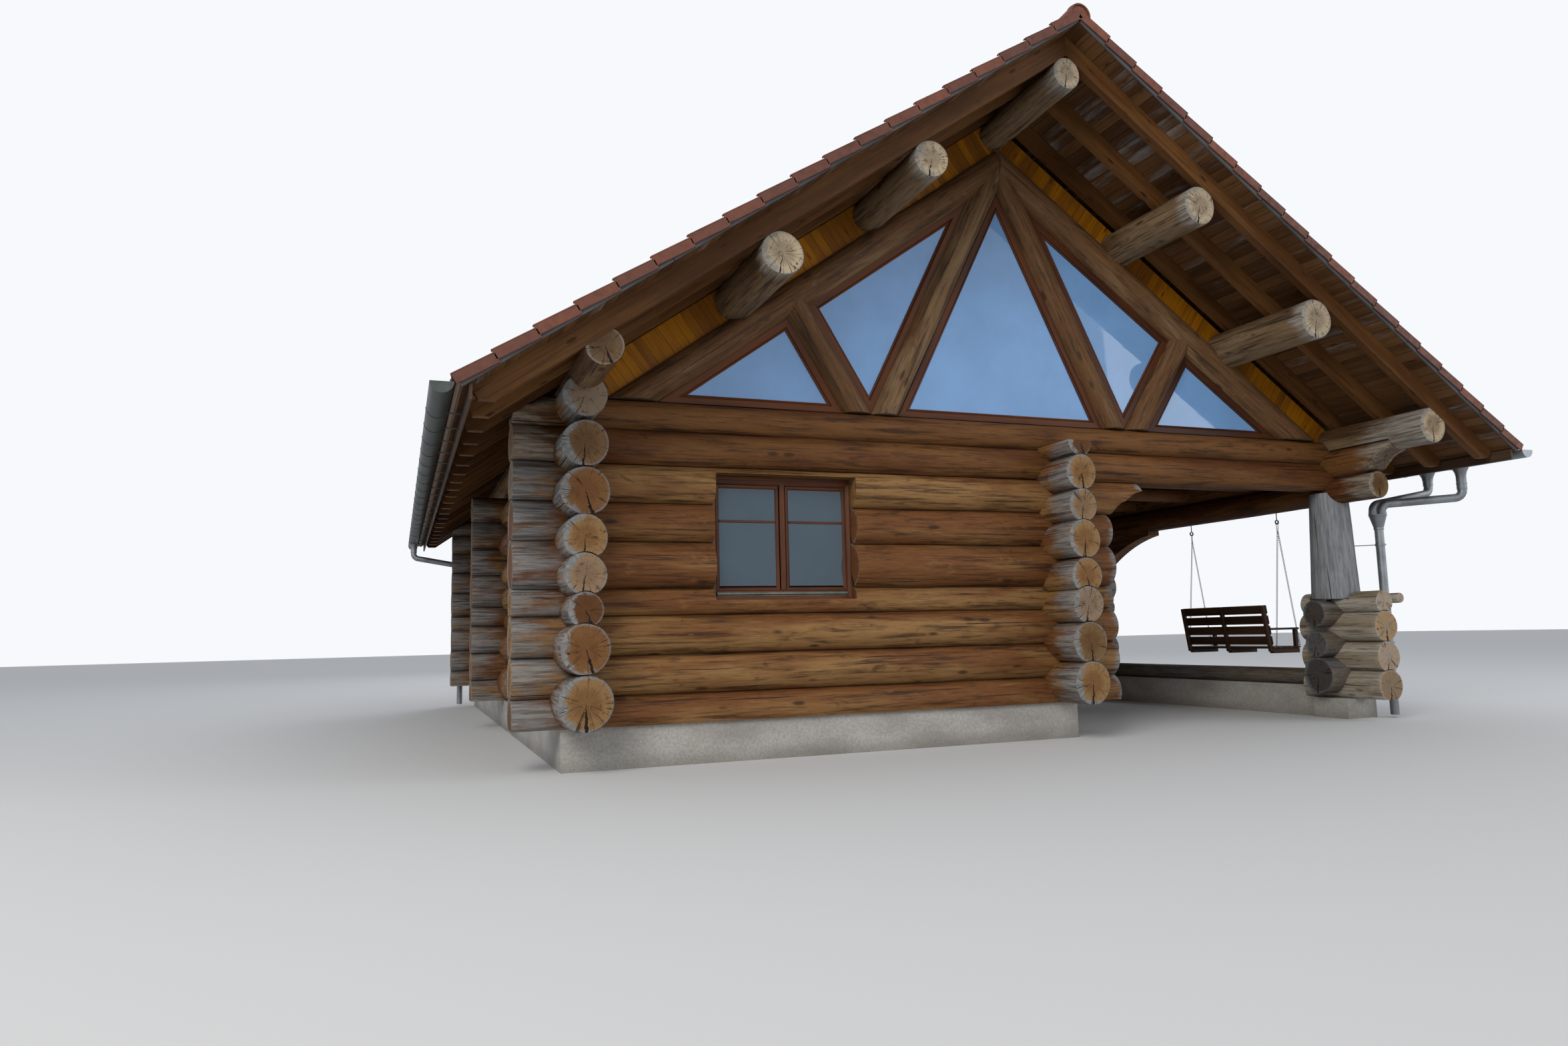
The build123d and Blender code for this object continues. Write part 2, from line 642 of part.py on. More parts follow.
for name, across in (("front_gable_frames", WALL_FRONT), ("rear_gable_frames", WALL_REAR)):
    with BuildPart() as frames:
        for outline in pane_outlines:
            with BuildSketch(gable_plane(across)):
                pane_face(outline, 0)
            extrude(amount=PANE_FRAME_DEPTH / 2, both=True)
            with BuildSketch(gable_plane(across)):
                pane_face(outline, PANE_FRAME)
            extrude(amount=PANE_FRAME_DEPTH / 2, both=True, mode=Mode.SUBTRACT)
    save(frames.part, name)

with BuildPart() as gable_glass:
    for across in (WALL_FRONT, WALL_REAR):
        for outline in pane_outlines:
            with BuildSketch(gable_plane(across)):
                pane_face(outline, PANE_FRAME + SCRIBE)
            extrude(amount=GLASS / 2, both=True)
save(gable_glass.part, "gable_glass")


def gable_strip(chord, plate, side):
    """The strip of boards between a chord and the rafters."""
    lift = (chord.radius + SCRIBE) / ACROSS
    low_apex = chord.z0 + lift
    foot = (low_apex - SEAT_PLANE) / SLOPE
    middle = side * SCRIBE / 2
    Polygon((middle, low_apex), (side * foot, SEAT_PLANE), (plate[0], SEAT_PLANE),
            (plate[0], roof_height(plate[0], RAFTER_UNDERSIDE) - SCRIBE),
            (middle, RAFTER_UNDERSIDE - SCRIBE), align=None)


least_board = GABLE_BOARD * RIDGE_PURLIN_RADIUS ** 2
with BuildPart() as all_boards:
    for across in (WALL_FRONT, WALL_REAR):
        for chord, plate, side in ((left_chord, LEFT_PLATE, -1), (right_chord, RIGHT_PLATE, 1)):
            with BuildSketch(gable_plane(across)):
                gable_strip(chord, plate, side)
            extrude(amount=GABLE_BOARD / 2, both=True)
    neighbours = purlin_logs + plates + [porch_header_logs[-1], left_logs[-1]]
    add([trunk(log, SCRIBE) for log in neighbours], mode=Mode.SUBTRACT)
with BuildPart() as gable_boards:
    add([board for board in all_boards.part.solids() if board.volume > least_board])
save(gable_boards.part, "gable_boards")


# Windows: one frame with two openings, and two panes
def window_plane(axis, across, centre):
    """The plane of a window in the middle of its wall, with its origin at the window's middle."""
    height = WINDOW_SILL + WINDOW_HEIGHT / 2
    if axis == "x":
        return Plane(origin=(centre, across, height), x_dir=(1, 0, 0), z_dir=(0, -1, 0))
    return Plane(origin=(across, centre, height), x_dir=(0, 1, 0), z_dir=(1, 0, 0))


window_planes = [window_plane("x", WALL_FRONT, WINDOW_CENTRE)]
window_planes += [window_plane("y", WALL_LEFT, y) for y in LEFT_WINDOWS]
window_planes += [window_plane("x", WALL_REAR, x) for x in REAR_WINDOWS]
window_planes += [window_plane("y", WALL_RIGHT, y) for y in RIGHT_WINDOWS]
pane_middle = PANE_ABOVE_SILL + PANE_HEIGHT / 2 - WINDOW_HEIGHT / 2
pane_places = [(side * (PANE_WIDTH + PANE_GAP) / 2, pane_middle) for side in (-1, 1)]

with BuildPart() as window_frames:
    for plane in window_planes:
        with BuildSketch(plane):
            Rectangle(WINDOW_WIDTH, WINDOW_HEIGHT)
            with Locations(*pane_places):
                Rectangle(PANE_WIDTH, PANE_HEIGHT, mode=Mode.SUBTRACT)
        extrude(amount=WINDOW_FRAME_DEPTH / 2, both=True)
save(window_frames.part, "window_frames")

with BuildPart() as window_glass:
    for plane in window_planes:
        with BuildSketch(plane):
            with Locations(*pane_places):
                Rectangle(PANE_WIDTH - 2 * SCRIBE, PANE_HEIGHT - 2 * SCRIBE)
        extrude(amount=GLASS / 2, both=True)
save(window_glass.part, "window_glass")

# Door to the porch: a frame on three sides and a leaf that stays shut
door_plane = Plane(origin=(WALL_MIDDLE, DOOR_CENTRE, door_low), x_dir=(0, 1, 0), z_dir=(1, 0, 0))
leaf_width = DOOR_WIDTH - 2 * DOOR_FRAME
leaf_height = DOOR_HEIGHT - DOOR_FRAME
with BuildPart() as porch_door:
    with BuildSketch(door_plane):
        Rectangle(DOOR_WIDTH, DOOR_HEIGHT, align=(Align.CENTER, Align.MIN))
        Rectangle(leaf_width, leaf_height, align=(Align.CENTER, Align.MIN), mode=Mode.SUBTRACT)
    extrude(amount=DOOR_FRAME_DEPTH / 2, both=True)
    with BuildSketch(door_plane):
        with Locations((0, SCRIBE)):
            Rectangle(leaf_width - 2 * SCRIBE, leaf_height - 2 * SCRIBE, align=(Align.CENTER, Align.MIN))
    extrude(amount=DOOR_LEAF / 2, both=True)
save(porch_door.part, "porch_door")


# Roof: rafters with pointed tails, sheathing, tiles in steps, ridge tiles and verge trims
def slope_point(side, run, rise, apex):
    """A point at a run down the slope and a rise square to it, from an apex height."""
    x = run * cos(radians(PITCH)) + rise * sin(radians(PITCH))
    z = apex - run * sin(radians(PITCH)) + rise * cos(radians(PITCH))
    return side * x, z


def rafter_profile(side):
    """A rafter from the ridge to its pointed tail."""
    top_tail = roof_height(RAFTER_TAIL_REACH, RIDGE_UNDERSIDE)
    nose_low = top_tail - RAFTER_NOSE
    nose_x = RAFTER_TAIL_REACH - RAFTER_NOSE_SLANT
    heel_x = (RAFTER_UNDERSIDE - nose_low) / SLOPE
    middle = SCRIBE / 2
    Polygon((side * middle, RIDGE_UNDERSIDE - SLOPE * middle), (side * RAFTER_TAIL_REACH, top_tail),
            (side * nose_x, nose_low), (side * heel_x, nose_low),
            (side * middle, RAFTER_UNDERSIDE - SLOPE * middle), align=None)


barge_centre = PURLIN_REACH - RAFTER_WIDTH / 2
rafter_pitch = 2 * barge_centre / (RAFTER_COUNT - 1)
rafter_places = [rafter_pitch * n - barge_centre for n in range(RAFTER_COUNT)]
for name, side in (("left_rafters", -1), ("right_rafters", 1)):
    with BuildPart() as rafters:
        for place in rafter_places:
            with BuildSketch(gable_plane(place)):
                rafter_profile(side)
            extrude(amount=RAFTER_WIDTH / 2, both=True)
    save(rafters.part, name)

sheathing_top = RIDGE_UNDERSIDE + SHEATHING / ACROSS
tile_seat = sheathing_top + BATTEN_SPACE / ACROSS
slope_length = EAVE_REACH / ACROSS
inner_run = SCRIBE / 2 / ACROSS
for name, side in (("left_sheathing", -1), ("right_sheathing", 1)):
    with BuildPart() as boards:
        with BuildSketch(Plane.XZ):
            with BuildLine():
                Polyline((side * SCRIBE / 2, RIDGE_UNDERSIDE), (side * SCRIBE / 2, sheathing_top),
                         slope_point(side, slope_length, SHEATHING, RIDGE_UNDERSIDE),
                         slope_point(side, slope_length, 0, RIDGE_UNDERSIDE), close=True)
            make_face()
        extrude(amount=VERGE_REACH - VERGE_TRIM, both=True)
    save(boards.part, name)


tiled = slope_length + TILE_OVERHANG
course = tiled / TILE_COURSES


def tile_steps(side):
    """Outline of the tile courses: each course is thick at its foot and thin at its head."""
    points = [slope_point(side, inner_run, 0, tile_seat),
              (side * SCRIBE / 2, tile_seat + TILE_HEAD / ACROSS)]
    for number in range(TILE_COURSES):
        foot = course * (number + 1)
        points.append(slope_point(side, foot, TILE_HEAD + TILE_STEP, tile_seat))
        if number < TILE_COURSES - 1:
            points.append(slope_point(side, foot, TILE_HEAD, tile_seat))
    points.append(slope_point(side, tiled, 0, tile_seat))
    Polygon(*points, align=None)


for name, side in (("left_tiles", -1), ("right_tiles", 1)):
    with BuildPart() as tiles:
        with BuildSketch(Plane.XZ):
            tile_steps(side)
        extrude(amount=TILE_VERGE_REACH, both=True)
        with BuildSketch(Plane.XZ):
            with BuildLine():
                Polyline((side * SCRIBE / 2, sheathing_top), slope_point(side, inner_run, 0, tile_seat),
                         slope_point(side, slope_length, 0, tile_seat),
                         slope_point(side, slope_length, SHEATHING, RIDGE_UNDERSIDE), close=True)
            make_face()
        extrude(amount=VERGE_REACH - VERGE_TRIM, both=True)
    save(tiles.part, name)

ridge_centre = tile_seat + TILE_HEAD / ACROSS - RIDGE_TILE_DROP
with BuildPart() as ridge_tiles:
    with BuildSketch(Plane.XZ):
        with Locations((0, ridge_centre)):
            Circle(RIDGE_TILE_RADIUS)
            Circle(RIDGE_TILE_RADIUS - RIDGE_TILE_WALL, mode=Mode.SUBTRACT)
        with BuildLine():
            foot_x, foot_z = slope_point(1, course, TILE_HEAD + TILE_STEP, tile_seat + SCRIBE)
            Polyline((0, tile_seat + TILE_HEAD / ACROSS + SCRIBE), (foot_x, foot_z), (-foot_x, foot_z),
                     close=True)
        make_face(mode=Mode.SUBTRACT)
    extrude(amount=TILE_VERGE_REACH, both=True)
save(ridge_tiles.part, "ridge_tiles")

with BuildPart() as verge_trims:
    for side in (-1, 1):
        for end in (-1, 1):
            with BuildSketch(gable_plane(end * (VERGE_REACH - VERGE_TRIM / 2))):
                with BuildLine():
                    Polyline((side * SCRIBE / 2, RIDGE_UNDERSIDE), slope_point(side, inner_run, 0, tile_seat),
                             slope_point(side, slope_length, 0, tile_seat),
                             slope_point(side, slope_length, 0, RIDGE_UNDERSIDE), close=True)
                make_face()
            extrude(amount=VERGE_TRIM / 2, both=True)
save(verge_trims.part, "verge_trims")

with BuildPart() as eaves_boards:
    board_top = roof_height(RAFTER_TAIL_REACH + EAVES_BOARD, RIDGE_UNDERSIDE) - SCRIBE
    for side in (-1, 1):
        with Locations((side * (RAFTER_TAIL_REACH + SCRIBE + EAVES_BOARD / 2), 0, board_top)):
            Box(EAVES_BOARD, 2 * (VERGE_REACH - VERGE_TRIM), EAVES_BOARD_DEPTH,
                align=(Align.CENTER, Align.CENTER, Align.MAX))
save(eaves_boards.part, "eaves_boards")

# Gutters: a half round trough with closed ends on hooks from the eaves board
hook_places = rafter_places[1:-1]
board_face = RAFTER_TAIL_REACH + SCRIBE + EAVES_BOARD
gutter_side = sqrt((GUTTER_RADIUS - GUTTER_WALL / 2) ** 2 - HOOK_DROP ** 2)
for name, side in (("left_gutter", -1), ("right_gutter", 1)):
    with BuildPart() as gutter:
        with BuildSketch(Plane.XZ):
            with Locations((side * GUTTER_OFFSET, GUTTER_TOP)):
                Circle(GUTTER_RADIUS)
                Circle(GUTTER_RADIUS - GUTTER_WALL, mode=Mode.SUBTRACT)
            with Locations((side * GUTTER_OFFSET, GUTTER_TOP)):
                Rectangle(3 * GUTTER_RADIUS, 2 * GUTTER_RADIUS, align=(Align.CENTER, Align.MIN),
                          mode=Mode.SUBTRACT)
        extrude(amount=GUTTER_REACH, both=True)
        for end in (-1, 1):
            with BuildSketch(gable_plane(end * (GUTTER_REACH - GUTTER_WALL / 2))):
                with Locations((side * GUTTER_OFFSET, GUTTER_TOP)):
                    Circle(GUTTER_RADIUS)
                    Rectangle(3 * GUTTER_RADIUS, 2 * GUTTER_RADIUS, align=(Align.CENTER, Align.MIN),
                              mode=Mode.SUBTRACT)
            extrude(amount=GUTTER_WALL / 2, both=True)
        for place in hook_places:
            with BuildSketch(gable_plane(place)):
                with Locations((side * GUTTER_OFFSET, GUTTER_TOP)):
                    Circle(GUTTER_RADIUS + HOOK_WALL)
                    Circle(GUTTER_RADIUS - GUTTER_WALL / 2, mode=Mode.SUBTRACT)
                    Rectangle(3 * GUTTER_RADIUS, 2 * GUTTER_RADIUS, align=(Align.CENTER, Align.MIN),
                              mode=Mode.SUBTRACT)
                arm = GUTTER_OFFSET - gutter_side - board_face
                with Locations((side * (board_face + arm / 2), GUTTER_TOP - HOOK_DROP)):
                    Rectangle(arm, 2 * HOOK_WALL)
            extrude(amount=HOOK_WIDTH / 2, both=True)
    save(gutter.part, name)


# Downpipes: two swan necks meet in a funnel over a straight pipe in the corner of the logs
def swan_neck(turn, outlet, drop, share):
    """A pipe from the gutter to its share of the funnel, turned half round for the far corner."""
    gutter_bottom = GUTTER_TOP - GUTTER_RADIUS - SCRIBE
    landing = (turn * (PIPE_X + share * NECK_SPREAD_X), turn * (PIPE_Y - share * NECK_SPREAD_Y))
    points = [(turn * GUTTER_OFFSET, turn * outlet, gutter_bottom),
              (turn * GUTTER_OFFSET, turn * outlet, gutter_bottom - drop),
              (*landing, FUNNEL_TOP + NECK_RISE),
              (*landing, FUNNEL_TOP - NECK_DIP)]
    with BuildPart() as neck:
        with BuildLine() as route:
            FilletPolyline(*points, radius=PIPE_BEND)
        with BuildSketch(Plane(origin=points[0], z_dir=(0, 0, -1))):
            Circle(PIPE_RADIUS)
        sweep(path=route.wires()[0])
    return neck.part


with BuildPart() as downpipes:
    for turn, outlets, shares in ((1, OUTLETS, (-1, 1)), (-1, OUTLETS[:1], (0,))):
        for (outlet, drop), share in zip(outlets, shares):
            add(swan_neck(turn, outlet, drop, share))
        with Locations((turn * PIPE_X, turn * PIPE_Y, FUNNEL_TOP - FUNNEL_HEIGHT)):
            Cone(PIPE_RADIUS, FUNNEL_RADIUS, FUNNEL_HEIGHT, align=(Align.CENTER, Align.CENTER, Align.MIN))
        with Locations((turn * PIPE_X, turn * PIPE_Y, PIPE_FOOT)):
            Cylinder(PIPE_RADIUS, FUNNEL_TOP - FUNNEL_HEIGHT - PIPE_FOOT,
                     align=(Align.CENTER, Align.CENTER, Align.MIN))
        with Locations((turn * PIPE_X, turn * PIPE_Y, CLAMP_HEIGHT)):
            Cylinder(PIPE_RADIUS + HOOK_WALL, HOOK_WIDTH)
save(downpipes.part, "downpipes")

# Porch swing: eyebolts in the side header, chains in a V and a slatted bench
with BuildPart() as swing_eyebolts:
    for bolt in swing_bolts:
        with Locations(Plane(origin=(WALL_RIGHT, bolt, SWING_AXIS_HEIGHT), z_dir=(0, 1, 0))):
            Cylinder(EYE_RADIUS + EYE_WIRE, EYE_WIDTH)
            Cylinder(EYE_BORE, EYE_WIDTH, mode=Mode.SUBTRACT)
        with Locations((WALL_RIGHT, bolt, SWING_AXIS_HEIGHT + EYE_RADIUS)):
            Cylinder(EYE_WIRE, EYE_SHANK, align=(Align.CENTER, Align.CENTER, Align.MIN))
save(swing_eyebolts.part, "swing_eyebolts")

seat_middle = WALL_RIGHT + SEAT_SHIFT
seat_front = seat_middle + SEAT_DEPTH / 2
seat_back = seat_middle - SEAT_DEPTH / 2
slat = (SEAT_DEPTH - (SEAT_SLATS - 1) * SEAT_GAP) / SEAT_SLATS
rail_top = SEAT_TOP - SEAT_BOARD
back_plane = Plane(origin=(seat_back, SWING_CENTRE, SEAT_TOP), x_dir=(0, 1, 0),
                   z_dir=(cos(radians(BACK_LEAN)), 0, sin(radians(BACK_LEAN))))
with BuildPart() as swing_bench:
    for number in range(SEAT_SLATS):
        with Locations((seat_back + slat / 2 + number * (slat + SEAT_GAP), SWING_CENTRE, rail_top)):
            Box(slat, SEAT_LENGTH, SEAT_BOARD, align=(Align.CENTER, Align.CENTER, Align.MIN))
    for place in (-1, 0, 1):
        with Locations((seat_middle, SWING_CENTRE + place * (SEAT_LENGTH - SEAT_RAIL) / 2, rail_top)):
            Box(SEAT_DEPTH, SEAT_RAIL, SEAT_RAIL, align=(Align.CENTER, Align.CENTER, Align.MAX))
    with BuildSketch(back_plane):
        for place in (-1, 0, 1):
            with Locations((place * (SEAT_LENGTH - BACK_POST) / 2, -SEAT_RAIL)):
                Rectangle(BACK_POST, BACK_HEIGHT + SEAT_RAIL, align=(Align.CENTER, Align.MIN))
    extrude(amount=-BACK_POST)
    board_height = (BACK_HEIGHT - BACK_BOARDS * BACK_GAP) / BACK_BOARDS
    with BuildSketch(back_plane):
        for number in range(BACK_BOARDS):
            with Locations((0, BACK_GAP + number * (board_height + BACK_GAP))):
                Rectangle(SEAT_LENGTH, board_height, align=(Align.CENTER, Align.MIN))
    extrude(amount=SEAT_BOARD / 2, both=True)
    for end in (-1, 1):
        arm_y = SWING_CENTRE + end * (SEAT_LENGTH - ARM_WIDTH) / 2
        with Locations((seat_middle - ARM_SHIFT, arm_y, SEAT_TOP + ARM_HEIGHT)):
            Box(ARM_LENGTH, ARM_WIDTH, SEAT_BOARD)
        with Locations((seat_front - BACK_POST / 2, arm_y, SEAT_TOP - SEAT_BOARD / 2)):
            Box(BACK_POST, BACK_POST, ARM_HEIGHT + SEAT_BOARD / 2,
                align=(Align.CENTER, Align.CENTER, Align.MIN))
save(swing_bench.part, "swing_bench")

# The round end of a link's slot rests on the edges of the eye, so its middle stands a little higher
link_slot = LINK_WIDTH / 2 - LINK_WIRE
link_rise = link_slot - sqrt(link_slot ** 2 - (EYE_WIDTH / 2) ** 2)
link_top = SWING_AXIS_HEIGHT - EYE_BORE + link_rise + 2 * SCRIBE + LINK_WIRE
chain_head = link_top - LINK_LENGTH
lug = (SWING_BOLT_SPAN - SEAT_LENGTH) / 2 - SCRIBE + CHAIN_RADIUS
with BuildPart() as swing_chains:
    for end, bolt in zip((-1, 1), swing_bolts):
        with BuildSketch(Plane(origin=(WALL_RIGHT, bolt, link_top - LINK_LENGTH / 2), x_dir=(0, 1, 0),
                               z_dir=(1, 0, 0))):
            SlotOverall(LINK_LENGTH + 2 * LINK_WIRE, LINK_WIDTH + 2 * LINK_WIRE, rotation=90)
            SlotOverall(LINK_LENGTH - 2 * LINK_WIRE, LINK_WIDTH - 2 * LINK_WIRE, rotation=90,
                        mode=Mode.SUBTRACT)
        extrude(amount=LINK_WIRE, both=True)
        head = Vector(WALL_RIGHT, bolt, chain_head)
        for reach in (seat_front - BACK_POST / 2, seat_back + BACK_POST / 2):
            foot = Vector(reach, bolt, SEAT_TOP - SEAT_BOARD / 2)
            with BuildSketch(Plane(origin=foot, z_dir=(head - foot).normalized())):
                Circle(CHAIN_RADIUS)
            extrude(amount=(head - foot).length)
            with Locations((reach, SWING_CENTRE + end * (SEAT_LENGTH / 2 + SCRIBE + lug / 2), foot.Z)):
                Box(CHAIN_LUG, lug, CHAIN_LUG)
        with Locations(head):
            Box(CHAIN_LUG, CHAIN_LUG, CHAIN_LUG)
save(swing_chains.part, "swing_chains")
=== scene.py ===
"""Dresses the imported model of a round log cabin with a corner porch.

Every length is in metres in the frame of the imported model: the front gable faces -Y, +X is to the
right of someone who looks at it, and the ground is at 0.
"""

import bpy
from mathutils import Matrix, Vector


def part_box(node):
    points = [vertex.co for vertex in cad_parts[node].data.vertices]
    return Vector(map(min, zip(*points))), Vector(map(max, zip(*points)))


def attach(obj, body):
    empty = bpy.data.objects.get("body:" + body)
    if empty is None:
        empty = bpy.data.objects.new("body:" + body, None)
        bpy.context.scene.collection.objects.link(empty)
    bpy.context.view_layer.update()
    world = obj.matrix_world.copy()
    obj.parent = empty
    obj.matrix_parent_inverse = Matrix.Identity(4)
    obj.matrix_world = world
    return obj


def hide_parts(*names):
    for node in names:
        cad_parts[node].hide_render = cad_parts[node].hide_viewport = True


bl_info = {
    "name": "Round Log Cabin",
    "version": (1, 0, 0),
    "blender": (4, 5, 0),
    "location": "View3D > Sidebar > Cabin",
    "description": "Makes the logs, roof, joinery and porch swing of a round log cabin",
    "category": "Object",
}

from functools import partialmethod
from math import atan2, cos, hypot, pi, radians, sin, tan

import bpy
import numpy as np
from bpy.props import FloatProperty, FloatVectorProperty, IntProperty, PointerProperty
from mathutils import Matrix

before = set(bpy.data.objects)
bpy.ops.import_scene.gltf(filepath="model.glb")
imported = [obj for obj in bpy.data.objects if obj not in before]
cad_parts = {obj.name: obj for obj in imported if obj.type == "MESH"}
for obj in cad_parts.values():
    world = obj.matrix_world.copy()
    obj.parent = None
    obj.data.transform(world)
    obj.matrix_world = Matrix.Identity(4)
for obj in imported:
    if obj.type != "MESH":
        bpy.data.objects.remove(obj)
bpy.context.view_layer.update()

# Plan lines of the walls and the roof form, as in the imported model
LEFT, MIDDLE, RIGHT = -4.720, 0.493, 4.720
FRONT, CROSS, REAR = -5.136, -0.080, 5.136
STUB = 0.580
PITCH = radians(35.15)
RUN, RISE = cos(PITCH), sin(PITCH)
RIDGE = 7.162
RAFTER_LOW = RIDGE - 0.180 / RUN
SEAT = 3.4305
PLINTH_TOP = 0.380
DECK = 3.150
VERGE = 6.782
TILE_VERGE = 6.805
EAVE = 5.818
SLOPE_LENGTH = EAVE / RUN
PURLIN_END = 6.542

# Joints between the logs of the front wall, then the height and radius of the logs of each wall
JOINTS = (0.380, 0.646, 1.009, 1.377, 1.635, 2.062, 2.430, 2.795, 3.129, 3.408)
GROOVE = 0.022
CROSS_COURSES = [(JOINTS[1] + GROOVE - 0.205, 0.205)] + [
    ((low + high) / 2, (high - low) / 2 + GROOVE) for low, high in zip(JOINTS[1:], JOINTS[2:])]
LEFT_COURSES = [(0.620, 0.245), (1.085, 0.225), (1.425, 0.160), (1.734, 0.192), (2.059, 0.202),
                (2.464, 0.221), (2.888, 0.212), (3.318, 0.197)]
MIDDLE_COURSES = [(0.600, 0.225), (1.020, 0.215), (1.410, 0.195), (1.715, 0.190), (2.100, 0.205),
                  (2.455, 0.175), (2.810, 0.190), (3.130, 0.150)]
RIGHT_COURSES = MIDDLE_COURSES[:5] + [(2.455, 0.178)]
SIDE_HEADERS = [(2.790, 0.165, -5.860), (3.110, 0.190, -6.120)]
PIER_ALONG = [(0.400, 0.190), (0.739, 0.185), (1.104, 0.185), (1.393, 0.135)]
PIER_ACROSS = [(0.520, 0.215), (0.897, 0.158), (1.272, 0.163)]
PIER_FRONT, PIER_BACK = FRONT - 0.660, FRONT + 0.430
POST_FOOT, POST_TOP = 1.440, 2.780

# Place across the roof, height where it isn't the rafters', and radius
PLATES = [(-4.700, 3.540, 0.163), (4.800, 3.380, 0.206)]
PURLINS = {"left_purlins": [(-1.603, 0.180), (-3.130, 0.200)],
           "right_purlins": [(1.603, 0.205), (3.130, 0.220)],
           "ridge_purlin": [(0.0, 0.163)]}

# Apex height and radius of the chords, and the feet and radius of the struts
CHORDS = {-1: (6.370, 0.150), 1: (6.391, 0.173)}
LONG_FEET = {-1: -1.499, 1: 1.430}
SHORT_STRUTS = {-1: ((-2.520, 4.600), (-1.800, 3.408)), 1: ((2.520, 4.600), (1.740, 3.408))}
STRUT = 0.142

WINDOW_WIDE, WINDOW_HIGH, WINDOW_SILL = 1.469, 1.218, 1.512
WINDOW_TOP = WINDOW_SILL + WINDOW_HIGH
WINDOWS = [("x", FRONT, -2.670, -1), ("y", LEFT, -2.600, -1), ("y", LEFT, 2.530, -1),
           ("x", REAR, -2.400, 1), ("x", REAR, 2.400, 1), ("y", RIGHT, 2.530, 1)]
DOOR_MIDDLE, DOOR_WIDE, DOOR_LOW, DOOR_HIGH = -2.600, 0.980, 0.420, 2.020
DOOR_FRAME = 0.070

# Roof layers above the rafters, square to the slope
SHEATHING, BATTENS = 0.024, 0.046
TILE_SEAT = RIDGE + (SHEATHING + BATTENS) / RUN
TILE_OVERHANG = 0.070
TILE_INSET = 0.020

GUTTER_X, GUTTER_TOP = 5.960, 3.095
PIPE_X, PIPE_Y = 5.120, -5.489
# Place along the gutter and height of the bend of each outlet
OUTLETS = ((-5.561, 2.852), (-5.993, 2.745))

SWING_BACK, SWING_FRONT, SWING_CENTRE, SWING_TOP = 4.525, 4.985, -3.540, 0.862
# Head of a chain's run: the axis less the eye's bore, plus the rise, gap and wire of the top
# link, less that link's length
CHAIN_HEAD = 2.506 - 0.020 + 0.003343 + 0.001 + 0.004 - 0.090

BLACK = (0, 0, 0, 1)
CRACK = (0.010, 0.007, 0.005, 1)
JOINERY_DARK = (0.055, 0.016, 0.006)
NO_TRIS = np.zeros((0, 3), int)
X, Y, Z = np.eye(3)


# Meshes

def add_object(name, data):
    """An object in the scene."""
    made = bpy.data.objects.new(name, data)
    bpy.context.scene.collection.objects.link(made)
    return made


def put_mesh(name, parts, body="cabin", stands_for=(), slot=None, material=None, smooth=True,
             sharp=35):
    """One object from parts of vertices, quads, triangles and attributes, set in as arrays."""
    counts = np.cumsum([0] + [len(part["at"]) for part in parts])

    def faces(kind, width):
        found = [part[kind] + first for part, first in zip(parts, counts) if len(part[kind])]
        return np.concatenate(found) if found else np.zeros((0, width), int)

    at = np.concatenate([part["at"] for part in parts]).astype(np.float32)
    quads, tris = faces("quads", 4), faces("tris", 3)
    loops = np.concatenate([quads.ravel(), tris.ravel()]).astype(np.int32)
    sizes = np.concatenate([np.full(len(quads), 4), np.full(len(tris), 3)]).astype(np.int32)
    starts = np.concatenate([[0], np.cumsum(sizes)[:-1]]).astype(np.int32)
    mesh = bpy.data.meshes.new(name)
    mesh.vertices.add(len(at))
    mesh.vertices.foreach_set("co", at.ravel())
    mesh.loops.add(len(loops))
    mesh.loops.foreach_set("vertex_index", loops)
    mesh.polygons.add(len(sizes))
    mesh.polygons.foreach_set("loop_start", starts)
    mesh.polygons.foreach_set("loop_total", sizes)
    mesh.update(calc_edges=True)
    for label, kind, width, field in (("grain", "FLOAT_VECTOR", 3, "vector"),
                                      ("state", "FLOAT_COLOR", 4, "color")):
        if label in parts[0]:
            values = np.concatenate([part[label] for part in parts]).astype(np.float32)
            layer = mesh.attributes.new(label, kind, "POINT")
            layer.data.foreach_set(field, values.reshape(-1, width).ravel())
    if "end" in parts[0]:
        ends = [part["end"][number] for number in (0, 1) for part in parts]
        layer = mesh.attributes.new("end", "FLOAT", "FACE")
        layer.data.foreach_set("value", np.concatenate(ends).astype(np.float32))
    mesh.validate()
    mesh.polygons.foreach_set("use_smooth", [smooth] * len(mesh.polygons))
    if smooth:
        mesh.set_sharp_from_angle(angle=radians(sharp))
    piece = add_object(name, mesh)
    mesh.materials.append(material)
    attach(piece, body)
    if stands_for:
        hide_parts(*stands_for)
    return piece


def patch(at, quads, tris=NO_TRIS, grain=None, state=(0.5, 0, 0, 1), **more):
    """A part of a mesh, with its points' grain and state spread over them."""
    at = at.reshape(-1, 3)
    grain = at.copy() if grain is None else grain.reshape(-1, 3)
    state = np.broadcast_to(state, (len(at), 4)) if np.ndim(state) == 1 else state.reshape(-1, 4)
    return {"at": at, "quads": quads, "tris": tris, "grain": grain, "state": state, **more}


def grid_quads(rows, columns):
    """Quads of a grid of rows of points, closed from the last column to the first."""
    row = np.arange(rows - 1)[:, None]
    column = np.arange(columns)[None, :]
    after = (column + 1) % columns
    quads = [row * columns + column, row * columns + after, (row + 1) * columns + after,
             (row + 1) * columns + column]
    return np.stack(quads, axis=-1).reshape(-1, 4)


def closed_quads(rows, columns):
    """Quads of a grid that is closed both ways."""
    last, first = (rows - 1) * columns + np.arange(columns), np.arange(columns)
    seam = np.stack([last, np.roll(last, -1), np.roll(first, -1), first], axis=1)
    return np.concatenate([grid_quads(rows, columns), seam])


